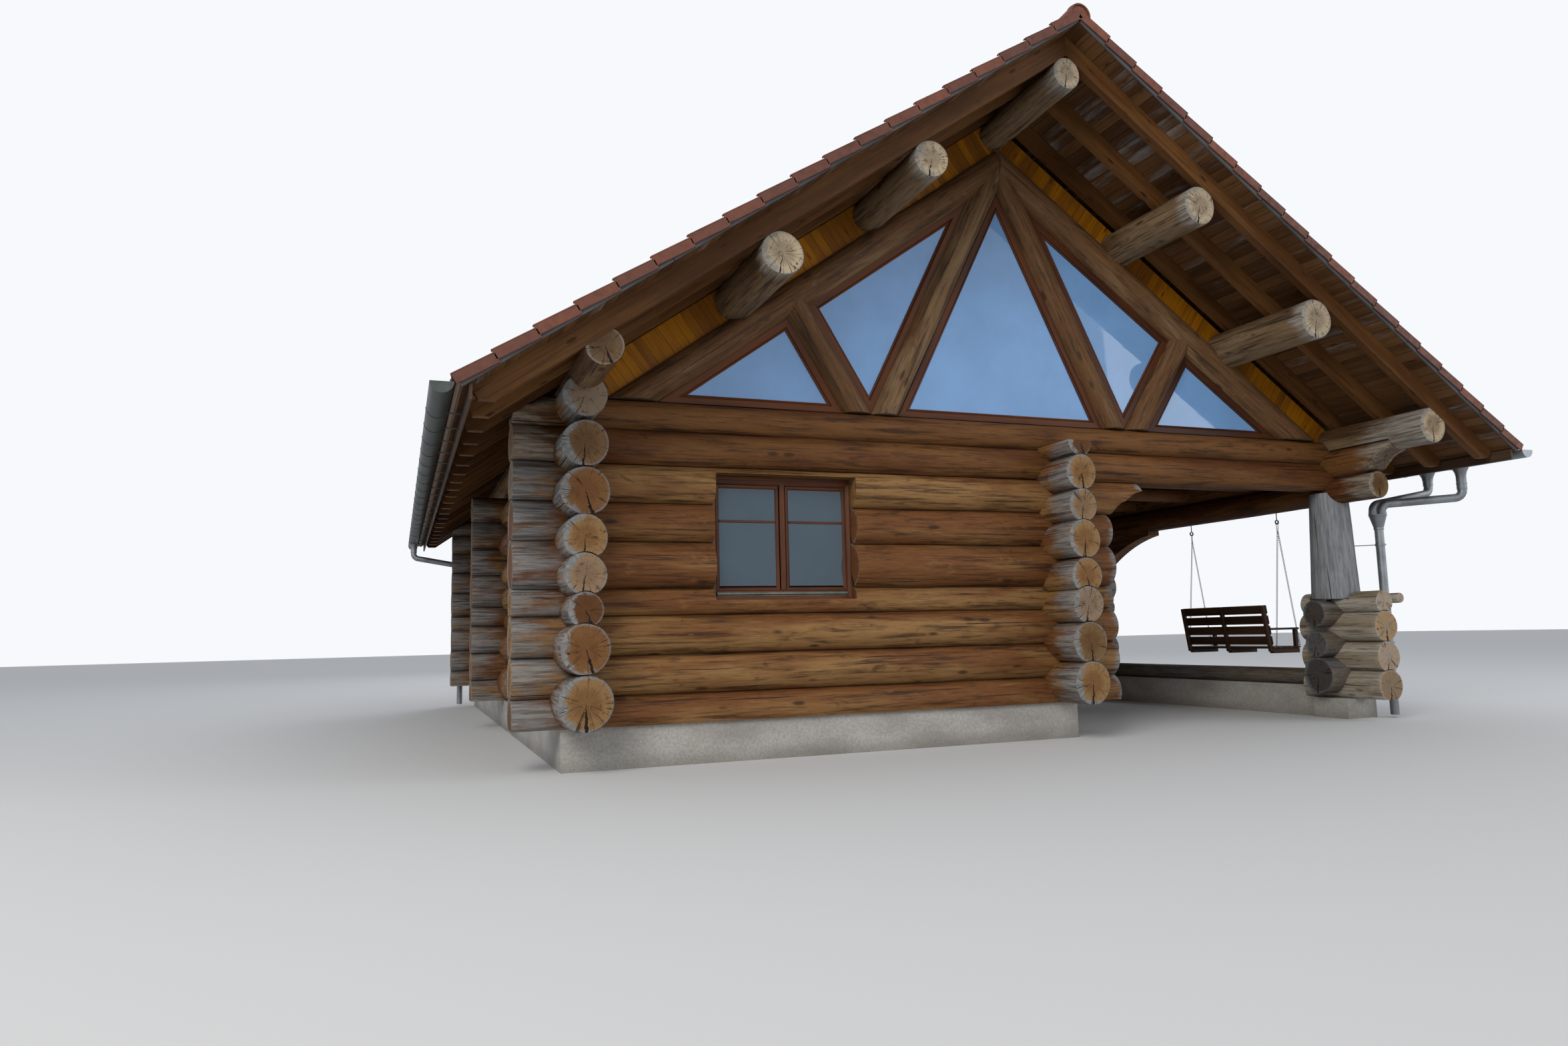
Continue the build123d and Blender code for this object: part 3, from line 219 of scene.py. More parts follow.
def repeated(faces, count, points):
    """Faces of one part for each of several parts with the same number of points."""
    first = points * np.arange(count)[:, None, None]
    return (faces[None] + first).reshape(-1, faces.shape[1])


def circle(count):
    """Angles once round."""
    return np.linspace(0, 2 * pi, count, endpoint=False)


def unit(vector):
    """A vector of length one."""
    return vector / np.linalg.norm(vector)


def left_handed(*axes):
    """True where three axes make a left hand."""
    return np.linalg.det(np.stack(axes)) < 0


def loop_area(first, second):
    """Twice the signed area inside a closed loop."""
    return (first * np.roll(second, -1) - np.roll(first, -1) * second).sum()


def waves(seed, along, around):
    """Sum of eight sines with random phase in length and turn, about -1 to 1."""
    rng = np.random.default_rng(seed)
    total = np.zeros(np.broadcast(along, around).shape)
    for number in range(8):
        length = rng.uniform(0.5, 4.5)
        turn = rng.integers(0, 4)
        phase = rng.uniform(0, 2 * pi)
        total += np.sin(length * along + turn * around + phase) / (1 + number * 0.4)
    return total / 3.2


def log_ends(at):
    """The flat ends of a log: rings that shrink to a hub, as points, quads and triangles."""
    rows, columns = at.shape[:2]
    points, quads, tris = [], [], []
    count = rows * columns
    for ring, row, flip in ((at[0], 0, True), (at[-1], rows - 1, False)):
        middle = ring.mean(axis=0)
        sizes = np.array([0.74, 0.45, 0.18])
        rings = middle + (ring[None] - middle) * sizes[:, None, None]
        base = np.concatenate([row * columns + np.arange(columns),
                               count + np.arange(3 * columns)]).reshape(4, columns)
        after = np.roll(base, -1, axis=1)
        ring_quads = np.stack([base[:-1], after[:-1], after[1:], base[1:]], axis=-1)
        hub = count + 3 * columns
        ring_tris = np.stack([base[-1], after[-1], np.full(columns, hub)], axis=-1)
        turn = slice(None, None, -1) if flip else slice(None)
        quads.append(ring_quads.reshape(-1, 4)[:, turn])
        tris.append(ring_tris[:, turn])
        points += [rings.reshape(-1, 3), middle[None]]
        count = hub + 1
    return points, np.concatenate(quads), np.concatenate(tris)


def round_log(start, end, radius, seed, rests=(), cuts=(), steps=(), tint=None, grey=(0, 0, 0),
              seams=1.0, rough=1.0, around=44, pitch=0.13, upright=(0, 0, 1), saw=0.02):
    """The skin of a round log from one point to another.

    Its radius runs evenly from one end to the other. Two slow waves round it make it a little
    oval, and a few sines in length and turn make it uneven.
    Where a ray from its middle would enter a log that it rests on, the radius stops at that log.
    Each end is a slightly tilted saw cut with a soft edge. Cuts then move points of the skin.
    """
    start, end = np.array(start, float), np.array(end, float)
    length = np.linalg.norm(end - start)
    axis = (end - start) / length
    side = unit(np.cross(axis, np.array(upright, float)))
    top = np.cross(side, axis)
    first, last = radius if isinstance(radius, tuple) else (radius, radius)
    rng = np.random.default_rng(seed)
    soft = 0.012
    along = np.linspace(0, length, max(3, int(length / pitch)))
    breaks = [value for step in steps for value in (step - 0.002, step + 0.002)]
    along = np.unique(np.round(np.concatenate([along, [soft, length - soft], breaks]), 5))
    along = along[(along >= 0) & (along <= length)]
    turn = circle(around)
    s, t = along[:, None], turn[None, :]
    plain = first + (last - first) * s / length
    oval = (rng.uniform(0.008, 0.026) * np.cos(2 * t + rng.uniform(0, 2 * pi))
            + 0.010 * np.cos(3 * t + seed))
    uneven = oval + 0.020 * waves(seed, s, t) + 0.006 * waves(seed + 1, s * 5, t * 2)
    shape = plain * (1 + rough * uneven)
    edge = np.clip(np.minimum(s, length - s) / soft, 0, 1)
    shape = shape * (0.965 + 0.035 * np.sqrt(edge))
    ray = np.stack([np.cos(turn), np.sin(turn)])
    for across, up, reach, *span in rests:
        toward = across * ray[0] + up * ray[1]
        inside = toward ** 2 - (across ** 2 + up ** 2 - reach ** 2)
        limit = np.where((inside > 0) & (toward > 0),
                         toward - np.sqrt(np.maximum(inside, 0)), 9.0)
        gap = 0.010 * np.exp(-np.minimum(s, length - s) / 0.25) - 0.004
        held = (s > span[0]) & (s < span[1]) if span else s > -1
        shape = np.where(held, np.minimum(shape, limit[None, :] - gap), shape)
    lean = rng.uniform(-saw, saw, (2, 2))
    tilt = np.zeros(shape.shape)
    for near, (a, b), sign in ((s, lean[0], 1), (length - s, lean[1], -1)):
        slope = (a * ray[0] + b * ray[1])[None, :] * shape + hypot(a, b) * shape.max()
        tilt += np.where(near < 1.5 * soft, slope, 0) * sign
    at = (start + axis * (s + tilt)[..., None] + side * (shape * ray[0])[..., None]
          + top * (shape * ray[1])[..., None])
    for cut in cuts:
        at = cut(at)
    if tint is None:
        tint = rng.uniform(0, 1)

    begin, finish, whole = grey
    weather = np.maximum(whole, np.maximum(
        np.clip(1.25 - s / max(begin, 1e-3), 0, 1) * (begin > 0),
        np.clip(1.25 - (length - s) / max(finish, 1e-3), 0, 1) * (finish > 0)))
    # The third mark is painted shade along the top and bottom of the log, where it meets the logs
    # above and below.
    seam = seams * np.clip((np.abs(ray[1]) - 0.72) / 0.28, 0, 1)
    spread = [part + np.zeros(shape.shape) for part in (tint, weather, seam[None, :], plain)]
    marks = [np.stack(spread, axis=-1).reshape(-1, 4)]
    ends, cap_quads, tris = log_ends(at)
    for row in (0, -1):
        mark = np.array([tint, weather[row].max(), 0, plain[row].max()])
        marks.append(np.tile(mark, (3 * around + 1, 1)))
    quads = grid_quads(len(along), around)
    all_quads = np.concatenate([quads, cap_quads])
    if left_handed(side, top, axis):
        all_quads, tris = all_quads[:, ::-1], tris[:, ::-1]
    at = np.concatenate([at.reshape(-1, 3), *ends])
    local = at - start
    shift = rng.uniform(-20, 20)
    grain = np.stack([local @ axis + shift, local @ side, local @ top], axis=-1)
    end_mark = np.concatenate([np.zeros(len(quads)), np.ones(len(cap_quads))])
    return patch(at, all_quads, tris, grain, np.concatenate(marks),
                 end=(end_mark, np.ones(len(tris))))


def slide(normal, distance, along):
    """A cut that slides the points beyond a plane back to it, along one direction."""
    normal, along = np.array(normal, float), np.array(along, float)

    def cut(at):
        over = np.maximum(at @ normal - distance, 0)
        return at - over[..., None] * along / (normal @ along)
    return cut


def with_height(at, height):
    """The same points at other heights."""
    return np.concatenate([at[..., :2], height[..., None]], axis=-1)


def notch(place, low, high, sill, head):
    """A cut that flattens a log to a sill below an opening and to a head above it."""
    def cut(at):
        inside = (at[..., place] > low) & (at[..., place] < high)
        height = at[..., 2]
        below = height.mean() < (sill + head) / 2
        flat = np.minimum(height, sill) if below else np.maximum(height, head)
        return with_height(at, np.where(inside, flat, height))
    return cut


def hollow(place, centre, height, radius):
    """A cut that lifts the underside of a log to a circle seen from the side."""
    def cut(at):
        away = at[..., place] - centre
        rim = height + np.sqrt(np.maximum(radius ** 2 - away ** 2, 0))
        lifted = (np.abs(away) < radius) & (at[..., 2] > height - radius)
        return with_height(at, np.where(lifted, np.maximum(at[..., 2], rim), at[..., 2]))
    return cut


def under_roof(at):
    """A cut that lowers points to the undersides of the rafters."""
    roof = RAFTER_LOW - 0.001 - np.abs(at[..., 0]) * tan(PITCH)
    return with_height(at, np.minimum(at[..., 2], roof))


def on_plinth(at):
    """A cut that raises points to the top of the plinth."""
    return with_height(at, np.maximum(at[..., 2], PLINTH_TOP + 0.001))


def wall_log(way, across, height, radius, low, high, seed, below=(), openings=(), cuts=(),
             grey=(0, 0, 0), **look):
    """The lengths of one wall log between the openings that cut right through it."""
    place = 0 if way == "x" else 1
    spans, cuts, steps = [(low, high)], list(cuts), []
    for first, last, sill, head in openings:
        if height + radius < sill or height - radius > head:
            continue
        if height + radius * 0.9 > head or height - radius * 0.9 < sill:
            cuts.append(notch(place, first, last, sill, head))
            steps += [first, last]
        else:
            spans = [part for a, b in spans for part in ((a, min(b, first)), (max(a, last), b))
                     if part[1] > part[0]]
    rests = [(0.0, lower - height, reach) for lower, reach in below
             if lower < height and lower + reach > height - radius]
    begin, finish, whole = grey
    pieces = []
    for a, b in spans:
        ends = [(end, across, height) if way == "x" else (across, end, height) for end in (a, b)]
        pieces.append(round_log(*ends, radius, seed, rests=rests, cuts=cuts,
                                steps=[step - a for step in steps],
                                grey=(begin * (a == low), finish * (b == high), whole), **look))
    return pieces


def planks(base, along, across, up, tint, grey=0.0, soft=0.003, shift=None):
    """Chamfered boards from arrays of one end's middle and full length, width and thickness.

    The section is a rectangle with its four corners cut off, carried straight to the other end.
    """
    vectors = [np.atleast_2d(np.array(part, float)) for part in (base, along, across, up)]
    count = max(len(part) for part in vectors)
    base, along, across, up = (np.broadcast_to(part, (count, 3)) for part in vectors)
    wide, thick = np.linalg.norm(across, axis=1), np.linalg.norm(up, axis=1)
    a, b = 0.5 - soft / wide, 0.5 - soft / thick
    half = np.full(count, 0.5)
    section_a = np.stack([-a, a, half, half, a, -a, -half, -half], axis=1)
    section_b = np.stack([-half, -half, -b, b, half, half, b, -b], axis=1)
    ring = section_a[..., None] * across[:, None] + section_b[..., None] * up[:, None]
    rings = np.stack([base[:, None] + ring, base[:, None] + along[:, None] + ring], axis=1)
    length = np.linalg.norm(along, axis=1)
    shift = np.arange(count) * 3.7 if shift is None else shift
    x = (np.stack([0 * length, length], axis=1)[..., None]
         + np.broadcast_to(shift, count)[:, None, None])
    sides = (section_a * wide[:, None])[:, None], (section_b * thick[:, None])[:, None]
    grain = np.stack(np.broadcast_arrays(x, *sides), axis=-1)
    tint, grey = np.broadcast_to(tint, count), np.broadcast_to(grey, count)
    state = np.stack([tint, grey, 0 * tint, np.ones(count)], axis=1)[:, None].repeat(16, axis=1)
    caps = np.array([[3, 2, 1, 0], [7, 4, 3, 0], [7, 6, 5, 4],
                     [8, 9, 10, 11], [8, 11, 12, 15], [12, 13, 14, 15]])
    quads = np.concatenate([grid_quads(2, 8), caps])
    if left_handed(across[0], up[0], along[0]):
        quads = quads[:, ::-1]
    return patch(rings, repeated(quads, count, 16), grain=grain, state=state)


def mitred(corners, normal, profile, tint=0.5):
    """A frame round a flat polygon: a closed profile of inset and depth with mitred corners."""
    corners, normal = np.array(corners, float), np.array(normal, float)
    count, points = len(corners), len(profile)
    ahead = np.roll(corners, -1, axis=0) - corners
    ahead /= np.linalg.norm(ahead, axis=1)[:, None]
    inward = np.cross(normal, ahead)
    if (inward[0] @ (corners.mean(axis=0) - corners[0])) < 0:
        inward = -inward
    before = np.roll(inward, 1, axis=0)
    miter = (inward + before) / (1 + (inward * before).sum(axis=1))[:, None]
    inset, depth = np.array(profile, float).T
    rings = np.stack([corner[:, None] + inset[None, :, None] * bisector[:, None]
                      + depth[None, :, None] * normal
                      for corner, bisector in ((corners, miter), (np.roll(corners, -1, axis=0),
                                                                  np.roll(miter, -1, axis=0)))],
                     axis=1)
    x = ((rings - corners[:, None, None]) * ahead[:, None, None]).sum(axis=-1)
    x = x + 5.3 * np.arange(count)[:, None, None]
    grain = np.stack(np.broadcast_arrays(x, inset[None, None], depth[None, None]), axis=-1)
    side = grid_quads(2, points)
    fan = np.stack([np.zeros(points - 2, int), np.arange(1, points - 1), np.arange(2, points)],
                   axis=1)
    tris = np.concatenate([fan[:, ::-1], fan + points])
    if left_handed(inward[0], normal, ahead[0]) != (loop_area(inset, depth) < 0):
        side, tris = side[:, ::-1], tris[:, ::-1]
    return patch(rings, repeated(side, count, 2 * points), repeated(tris, count, 2 * points),
                 grain, (tint, 0, 0, 1))


def tube(path, radius, around=12, closed=False):
    """A round tube along points: rings square to the run, with hubs at open ends.

    Each ring lies in the plane of a fixed helper direction and the cross of it with the run.
    """
    path = np.array(path, float)
    count = len(path)
    if closed:
        ahead = np.roll(path, -1, axis=0) - np.roll(path, 1, axis=0)
    else:
        ahead = np.gradient(path, axis=0)
    ahead /= np.linalg.norm(ahead, axis=1)[:, None]
    steep = abs(ahead[:, 2]).max() >= 0.8
    side = np.cross(ahead, (0.9, 0.4, 0.1) if steep else (0.31, 0.17, 0.93))
    side /= np.linalg.norm(side, axis=1)[:, None]
    top = np.cross(side, ahead)
    turn = circle(around)
    at = (path[:, None] + radius * (np.cos(turn)[None, :, None] * side[:, None]
                                    + np.sin(turn)[None, :, None] * top[:, None])).reshape(-1, 3)
    if closed:
        return patch(at, closed_quads(count, around)[:, ::-1])
    first, last = np.arange(around), (count - 1) * around + np.arange(around)
    hubs = np.full(around, len(at))
    tris = np.concatenate([np.stack([np.roll(first, -1), first, hubs], axis=1),
                           np.stack([last, np.roll(last, -1), hubs + 1], axis=1)])
    return patch(np.concatenate([at, path[:1], path[-1:]]), grid_quads(count, around)[:, ::-1],
                 tris[:, ::-1])


def turned_shape(profile, place, around=24, axis=(0, 0, 1)):
    """A profile of radius and height turned once round an axis and closed on itself."""
    profile, axis = np.array(profile, float), np.array(axis, float)
    side = unit(np.cross(axis, (0.3, 1.0, 0.2)))
    turn = circle(around)
    rim = np.cos(turn)[:, None] * side + np.sin(turn)[:, None] * np.cross(axis, side)
    at = np.array(place) + profile[:, None, :1] * rim[None] + profile[:, None, 1:] * axis
    quads = closed_quads(len(profile), around)
    return patch(at, quads[:, ::-1] if loop_area(*profile.T) < 0 else quads)


def copies(part, turns, places, tints):
    """One part set down many times: its points times each turn plus each place."""
    count, points = len(places), len(part["at"])
    at = np.einsum("nij,vj->nvi", turns, part["at"]) + np.array(places)[:, None]
    state = np.tile(part["state"], (count, 1, 1))
    state[..., 0] = np.array(tints)[:, None]
    grain = part["grain"][None] + (3.1 * np.arange(count))[:, None, None] * X
    return patch(at, repeated(part["quads"], count, points),
                 repeated(part["tris"], count, points), grain, state)


def on_slope(side, run, rise, apex):
    """Points on a slope, by distance down it and distance square to it from an apex height."""
    return side * (run * RUN + rise * RISE), apex - run * RISE + rise * RUN


def down_slope(side, size):
    """A vector down a slope."""
    return side * size * RUN, 0, -size * RISE


def off_slope(side, size):
    """A vector square to a slope."""
    return side * size * RISE, 0, size * RUN


# Gable trusses and the panes between their bars

def truss_bars(side):
    """Centre lines and radii of the chord, the long strut and the short strut of one side."""
    apex, reach = CHORDS[side]
    run = (apex - SEAT) / tan(PITCH) + 2 * reach
    (x0, z0), (x1, z1) = SHORT_STRUTS[side]
    return [(0, apex, side * run, apex - tan(PITCH) * run, reach),
            (0, apex, LONG_FEET[side], SEAT, STRUT), (x0, z0, x1, z1, STRUT)]


def edge_of(bar, inside):
    """The edge of a bar that faces a point: a point on it and its direction."""
    x0, z0, x1, z1, reach = bar
    length = hypot(x1 - x0, z1 - z0)
    ux, uz = (x1 - x0) / length, (z1 - z0) / length
    out = (reach + 0.0005) * (1 if ux * (inside[1] - z0) - uz * (inside[0] - x0) > 0 else -1)
    return (x0 - uz * out, z0 + ux * out), (ux, uz)


def crossing(first, second):
    """Where two lines cross."""
    (ax, az), (ux, uz) = first
    (bx, bz), (vx, vz) = second
    step = ((bx - ax) * vz - (bz - az) * vx) / (ux * vz - uz * vx)
    return ax + ux * step, az + uz * step


def pane_corners():
    """Corners of the five glazed triangles between bars and header, from left to right."""
    left, right = truss_bars(-1), truss_bars(1)
    sill = ((0, SEAT), (1, 0))
    groups = [((-2.9, 3.7), [left[0], left[2]]), ((-1.8, 4.5), left),
              ((0, 4.5), [left[1], right[1]]), ((1.8, 4.5), right),
              ((2.9, 3.7), [right[0], right[2]])]
    corners = []
    for inside, bars in groups:
        edges = ([edge_of(bar, inside) for bar in bars] + [sill])[:3]
        corners.append([crossing(edges[number], edges[(number + 1) % 3]) for number in range(3)])
    return corners


# Shader nodes

class Net:
    """Adds nodes to one tree and links them."""

    def __init__(self, tree):
        self.tree = tree

    def node(self, kind, inputs=None, **settings):
        """A node with its settings, and its inputs as values or links."""
        made = self.tree.nodes.new(kind)
        for key, value in settings.items():
            setattr(made, key, value)
        self.fill(made.inputs, inputs or {})
        return made

    def put(self, socket, value):
        """A value or a link into a socket."""
        if isinstance(value, bpy.types.NodeSocket):
            self.tree.links.new(value, socket)
        else:
            socket.default_value = value

    def fill(self, sockets, values):
        """Values or links into sockets by name or number."""
        for key, value in values.items():
            self.put(sockets[key], value)

    def math(self, operation, *values, clamp=False):
        """The result of a math node."""
        return self.node("ShaderNodeMath", dict(enumerate(values)), operation=operation,
                         use_clamp=clamp).outputs[0]

    plus = partialmethod(math, "ADD")
    minus = partialmethod(math, "SUBTRACT")
    times = partialmethod(math, "MULTIPLY")
    over = partialmethod(math, "DIVIDE")
    larger = partialmethod(math, "MAXIMUM")
    smaller = partialmethod(math, "MINIMUM")
    scaled = partialmethod(math, "MULTIPLY_ADD")
    size = partialmethod(math, "ABSOLUTE")
    floor = partialmethod(math, "FLOOR")

    def vector(self, operation, *values):
        """The result of a vector math node."""
        made = self.node("ShaderNodeVectorMath", dict(enumerate(values)), operation=operation)
        return made.outputs["Value" if operation == "LENGTH" else "Vector"]

    def noise(self, at, stretch, detail=4.0, rough=0.6, bend=0.0):
        """Noise on coordinates that are stretched along each axis."""
        scaled = self.vector("MULTIPLY", at, stretch)
        return self.node("ShaderNodeTexNoise", {
            "Vector": scaled, "Scale": 1.0, "Detail": detail, "Roughness": rough,
            "Distortion": bend}).outputs["Fac"]

    def cells(self, at, scale=1.0):
        """Distance to the nearest of many scattered points."""
        return self.node("ShaderNodeTexVoronoi", {"Vector": at, "Scale": scale},
                         feature="F1").outputs["Distance"]

    def step(self, value, low, high, first=0.0, last=1.0):
        """A soft step from one value to another."""
        return self.node("ShaderNodeMapRange", {
            "Value": value, "From Min": low, "From Max": high, "To Min": first, "To Max": last},
            interpolation_type="SMOOTHSTEP").outputs["Result"]

    def mix(self, factor, first, second):
        """Two colours mixed."""
        return self.node("ShaderNodeMix", {0: factor, 6: first, 7: second},
                         data_type="RGBA").outputs[2]

    def laid(self, under, upper, value, low, high, amount):
        """A colour with another laid on it where a value steps from low to high."""
        return self.mix(self.step(value, low, high, 0.0, amount), under, upper)

    def split(self, vector):
        """The three parts of a vector."""
        return tuple(self.node("ShaderNodeSeparateXYZ", {0: vector}).outputs)

    def join(self, x, y, z):
        """A vector from three parts."""
        return self.node("ShaderNodeCombineXYZ", {0: x, 1: y, 2: z}).outputs[0]

    def parts(self, colour):
        """The three parts of a colour."""
        return self.node("ShaderNodeSeparateColor", {0: colour}).outputs

    def read(self, name):
        """The outputs of a mesh attribute."""
        return self.node("ShaderNodeAttribute", attribute_name=name).outputs

    def place(self):
        """Object coordinates."""
        return self.node("ShaderNodeTexCoord").outputs["Object"]

    def turned(self, place, turn):
        """Coordinates turned about the axes."""
        return self.node("ShaderNodeMapping", {"Vector": place, "Rotation": turn}).outputs[0]


WOOD_GIVES = (("Color", "Color"), ("Roughness", "Float"), ("Height", "Float"))


def new_group(name, takes, gives):
    """An empty node group with its net and its two end nodes."""
    tree = bpy.data.node_groups.new(name, "ShaderNodeTree")
    for way, sockets in (("INPUT", takes), ("OUTPUT", gives)):
        for label, kind in sockets:
            tree.interface.new_socket(name=label, in_out=way, socket_type=f"NodeSocket{kind}")
    net = Net(tree)
    return tree, net, net.node("NodeGroupInput").outputs, net.node("NodeGroupOutput").inputs


def make_log_group():
    """Weathered round wood: a stained back, long streaks, knots, checks, painted shade along the
    seams and sawn ends.
    """
    tones = ("Light", "Warm", "Dark", "Grey", "Sawn")
    tree, net, takes, gives = new_group(
        "weathered_log",
        [("Grain", "Vector"), ("State", "Color"), ("Reach", "Float"), ("End", "Float"),
         *((tone, "Color") for tone in tones), ("Weather", "Float"), ("Checks", "Float")],
        WOOD_GIVES)
    at, reach, end = takes["Grain"], takes["Reach"], takes["End"]
    light, warm, dark, grey, fresh = (takes[tone] for tone in tones)
    tint, weather, seam = net.parts(takes["State"])
    along, across, up = net.split(at)
    high = net.larger(net.smaller(net.over(up, reach), 1.0), -1.0)
    streak = net.noise(at, (1.1, 17, 17), 6, 0.62, 0.25)
    thin = net.noise(at, (2.2, 46, 46), 5, 0.62, 0.15)
    broad = net.noise(at, (0.5, 3.2, 3.2), 3, 0.55, 0.4)
    fine = net.noise(at, (8, 140, 140), 3, 0.6)
    blotch = net.noise(at, (3.4, 11, 11), 4, 0.65, 0.6)

    # The stained back, with streaks, blotches and knots, and bare grey wood where it is weathered
    # The top of each log is drawn a little warmer and darker than its underside.
    lift = net.plus(net.scaled(tint, 0.30, -0.15), net.times(high, 0.07))
    skin = net.mix(net.step(net.plus(broad, lift), 0.38, 0.60), light, warm)
    for upper, value, low, top, amount in (
            (dark, streak, 0.50, 0.32, 0.85), (dark, thin, 0.48, 0.34, 0.60),
            (light, thin, 0.55, 0.70, 0.40), (light, blotch, 0.58, 0.76, 0.50),
            (dark, blotch, 0.43, 0.25, 0.70)):
        skin = net.laid(skin, upper, value, low, top, amount)
    knot = net.step(net.cells(net.vector("MULTIPLY", at, (1.9, 5.5, 5.5))), 0.17, 0.07)
    skin = net.mix(net.times(knot, 0.8), skin, dark)
    cloud = net.noise(at, (1.6, 6, 6), 5, 0.7, 0.5)
    old = net.plus(net.plus(weather, takes["Weather"]), net.scaled(cloud, 2.4, -1.55))
    worn = net.step(old, 0.10, 0.75)
    bare = net.mix(net.step(thin, 0.36, 0.62), net.mix(0.64, grey, dark), grey)
    bare = net.laid(bare, dark, streak, 0.46, 0.30, 0.6)
    bare = net.laid(bare, net.mix(0.5, light, grey), blotch, 0.50, 0.70, 0.45)
    skin = net.mix(net.times(worn, 0.88), skin, bare)

    # Checks lie in lanes round the log: each has one line that sways, opens and closes along it
    lane_width = 0.085
    girth = net.times(net.math("ARCTAN2", across, up), reach)
    lane = net.floor(net.over(girth, lane_width))
    own = net.floor(net.times(tint, 97.0))
    drawn = net.node("ShaderNodeTexWhiteNoise", {"Vector": net.join(lane, own, 0.0)})
    first, second, third = net.parts(drawn.outputs["Color"])
    centre = net.times(net.plus(lane, net.scaled(first, 0.5, 0.25)), lane_width)
    sway = net.noise(net.join(along, second, 0.0), (1.6, 40, 1), 3, 0.5)
    off = net.size(net.minus(net.minus(girth, centre), net.scaled(sway, 0.030, -0.015)))
    gape = net.step(net.noise(net.join(along, third, 7.0), (0.6, 60, 1), 2, 0.5),
                    0.55, 0.70, 0.0, 0.0045)
    check = net.times(net.step(net.minus(off, gape), 0.0012, -0.0010),
                      net.step(gape, 0.0002, 0.0012))
    check = net.times(check, takes["Checks"])
    # Painted shade along the seams, where the log meets the logs above and below.
    shade = net.times(seam, net.step(streak, 0.2, 0.7, 0.95, 0.55))
    skin = net.mix(net.times(shade, 0.72), skin, net.mix(0.45, dark, BLACK))
    skin = net.laid(skin, net.mix(0.5, skin, BLACK), fine, 0.35, 0.65, 0.35)
    skin = net.mix(check, skin, CRACK)

    # A sawn end: rings, a darker rim that is wider on one side, spokes from the heart and one split
    flat = net.join(0.0, across, up)
    away = net.vector("LENGTH", flat, (0, 0, 0))
    share = net.over(away, reach)
    wander = net.noise(net.vector("ADD", flat, net.join(along, 0.0, 0.0)), (9, 9, 9), 3, 0.5)
    ring = net.math("SINE", net.plus(net.times(away, 640.0), net.times(wander, 34.0)))
    spotted = net.noise(at, (5, 20, 20), 5, 0.65)
    heart = net.step(net.scaled(spotted, 0.7, share), 1.05, 0.70)
    sawn = net.mix(heart, fresh, net.mix(0.55, fresh, warm))
    fifth = net.math("FRACT", net.times(tint, 5.0))
    for upper, value, low, top, amount in (
            (net.mix(0.40, grey, fresh), tint, 0.42, 0.20, 0.60), (warm, tint, 0.60, 0.95, 0.92),
            (dark, fifth, 0.55, 0.85, 0.40), (dark, ring, -0.6, 0.9, 0.42),
            (net.mix(0.6, warm, dark), spotted, 0.50, 0.72, 0.75)):
        sawn = net.laid(sawn, upper, value, low, top, amount)
    lee = net.vector("SUBTRACT", flat, net.join(0.0, net.times(reach, 0.26), 0.0))
    crescent = net.plus(net.over(net.vector("LENGTH", lee, (0, 0, 0)), reach),
                        net.scaled(cloud, 0.5, net.scaled(old, 0.25, -0.40)))
    rim = net.larger(net.step(share, 0.86, 0.97, 0.0, 0.6),
                     net.step(crescent, 0.86, 1.08, 0.0, 0.95))
    sawn = net.mix(rim, sawn, net.mix(net.step(spotted, 0.40, 0.62), net.mix(0.4, grey, dark),
                                      net.mix(0.1, grey, dark)))
    swirl = net.vector("ADD", net.vector("MULTIPLY", net.vector("NORMALIZE", flat), (1, 2.6, 2.6)),
                       net.join(along, net.times(away, 1.2), 0.0))
    spoke = net.size(net.minus(net.noise(swirl, (1, 1, 1), 2, 0.5), 0.5))
    spokes = net.times(net.step(spoke, 0.013, 0.004),
                       net.times(net.step(share, 0.12, 0.30), net.step(spotted, 0.38, 0.50)))
    wobble = net.scaled(net.noise(at, (3, 30, 30), 2, 0.5), 0.040, -0.020)
    lean = net.times(up, net.scaled(tint, 0.9, -0.45))
    beside = net.size(net.plus(net.plus(across, lean), wobble))
    width = net.times(net.larger(net.times(up, -1.0), 0.0), net.scaled(tint, 0.075, 0.015))
    split = net.times(net.step(net.minus(beside, width), 0.003, 0.0), net.step(up, 0.01, -0.02))
    cracks = net.larger(net.times(spokes, 0.8), split)
    sawn = net.mix(cracks, sawn, CRACK)

    dull = net.plus(net.step(fine, 0.2, 0.8, 0.55, 0.74), net.times(worn, 0.16), clamp=True)
    bark = net.plus(net.times(streak, 0.50), net.times(thin, 0.30))
    bark = net.minus(net.plus(bark, net.times(knot, 0.20)), net.times(check, 0.9))
    face = net.minus(net.times(ring, 0.04), net.times(cracks, 1.0))
    height = net.node("ShaderNodeMix", {0: end, 2: bark, 3: face}, data_type="FLOAT").outputs[0]
    net.fill(gives, {"Color": net.mix(end, skin, sawn), "Height": height,
                     "Roughness": net.larger(dull, net.times(end, 0.8))})
    return tree


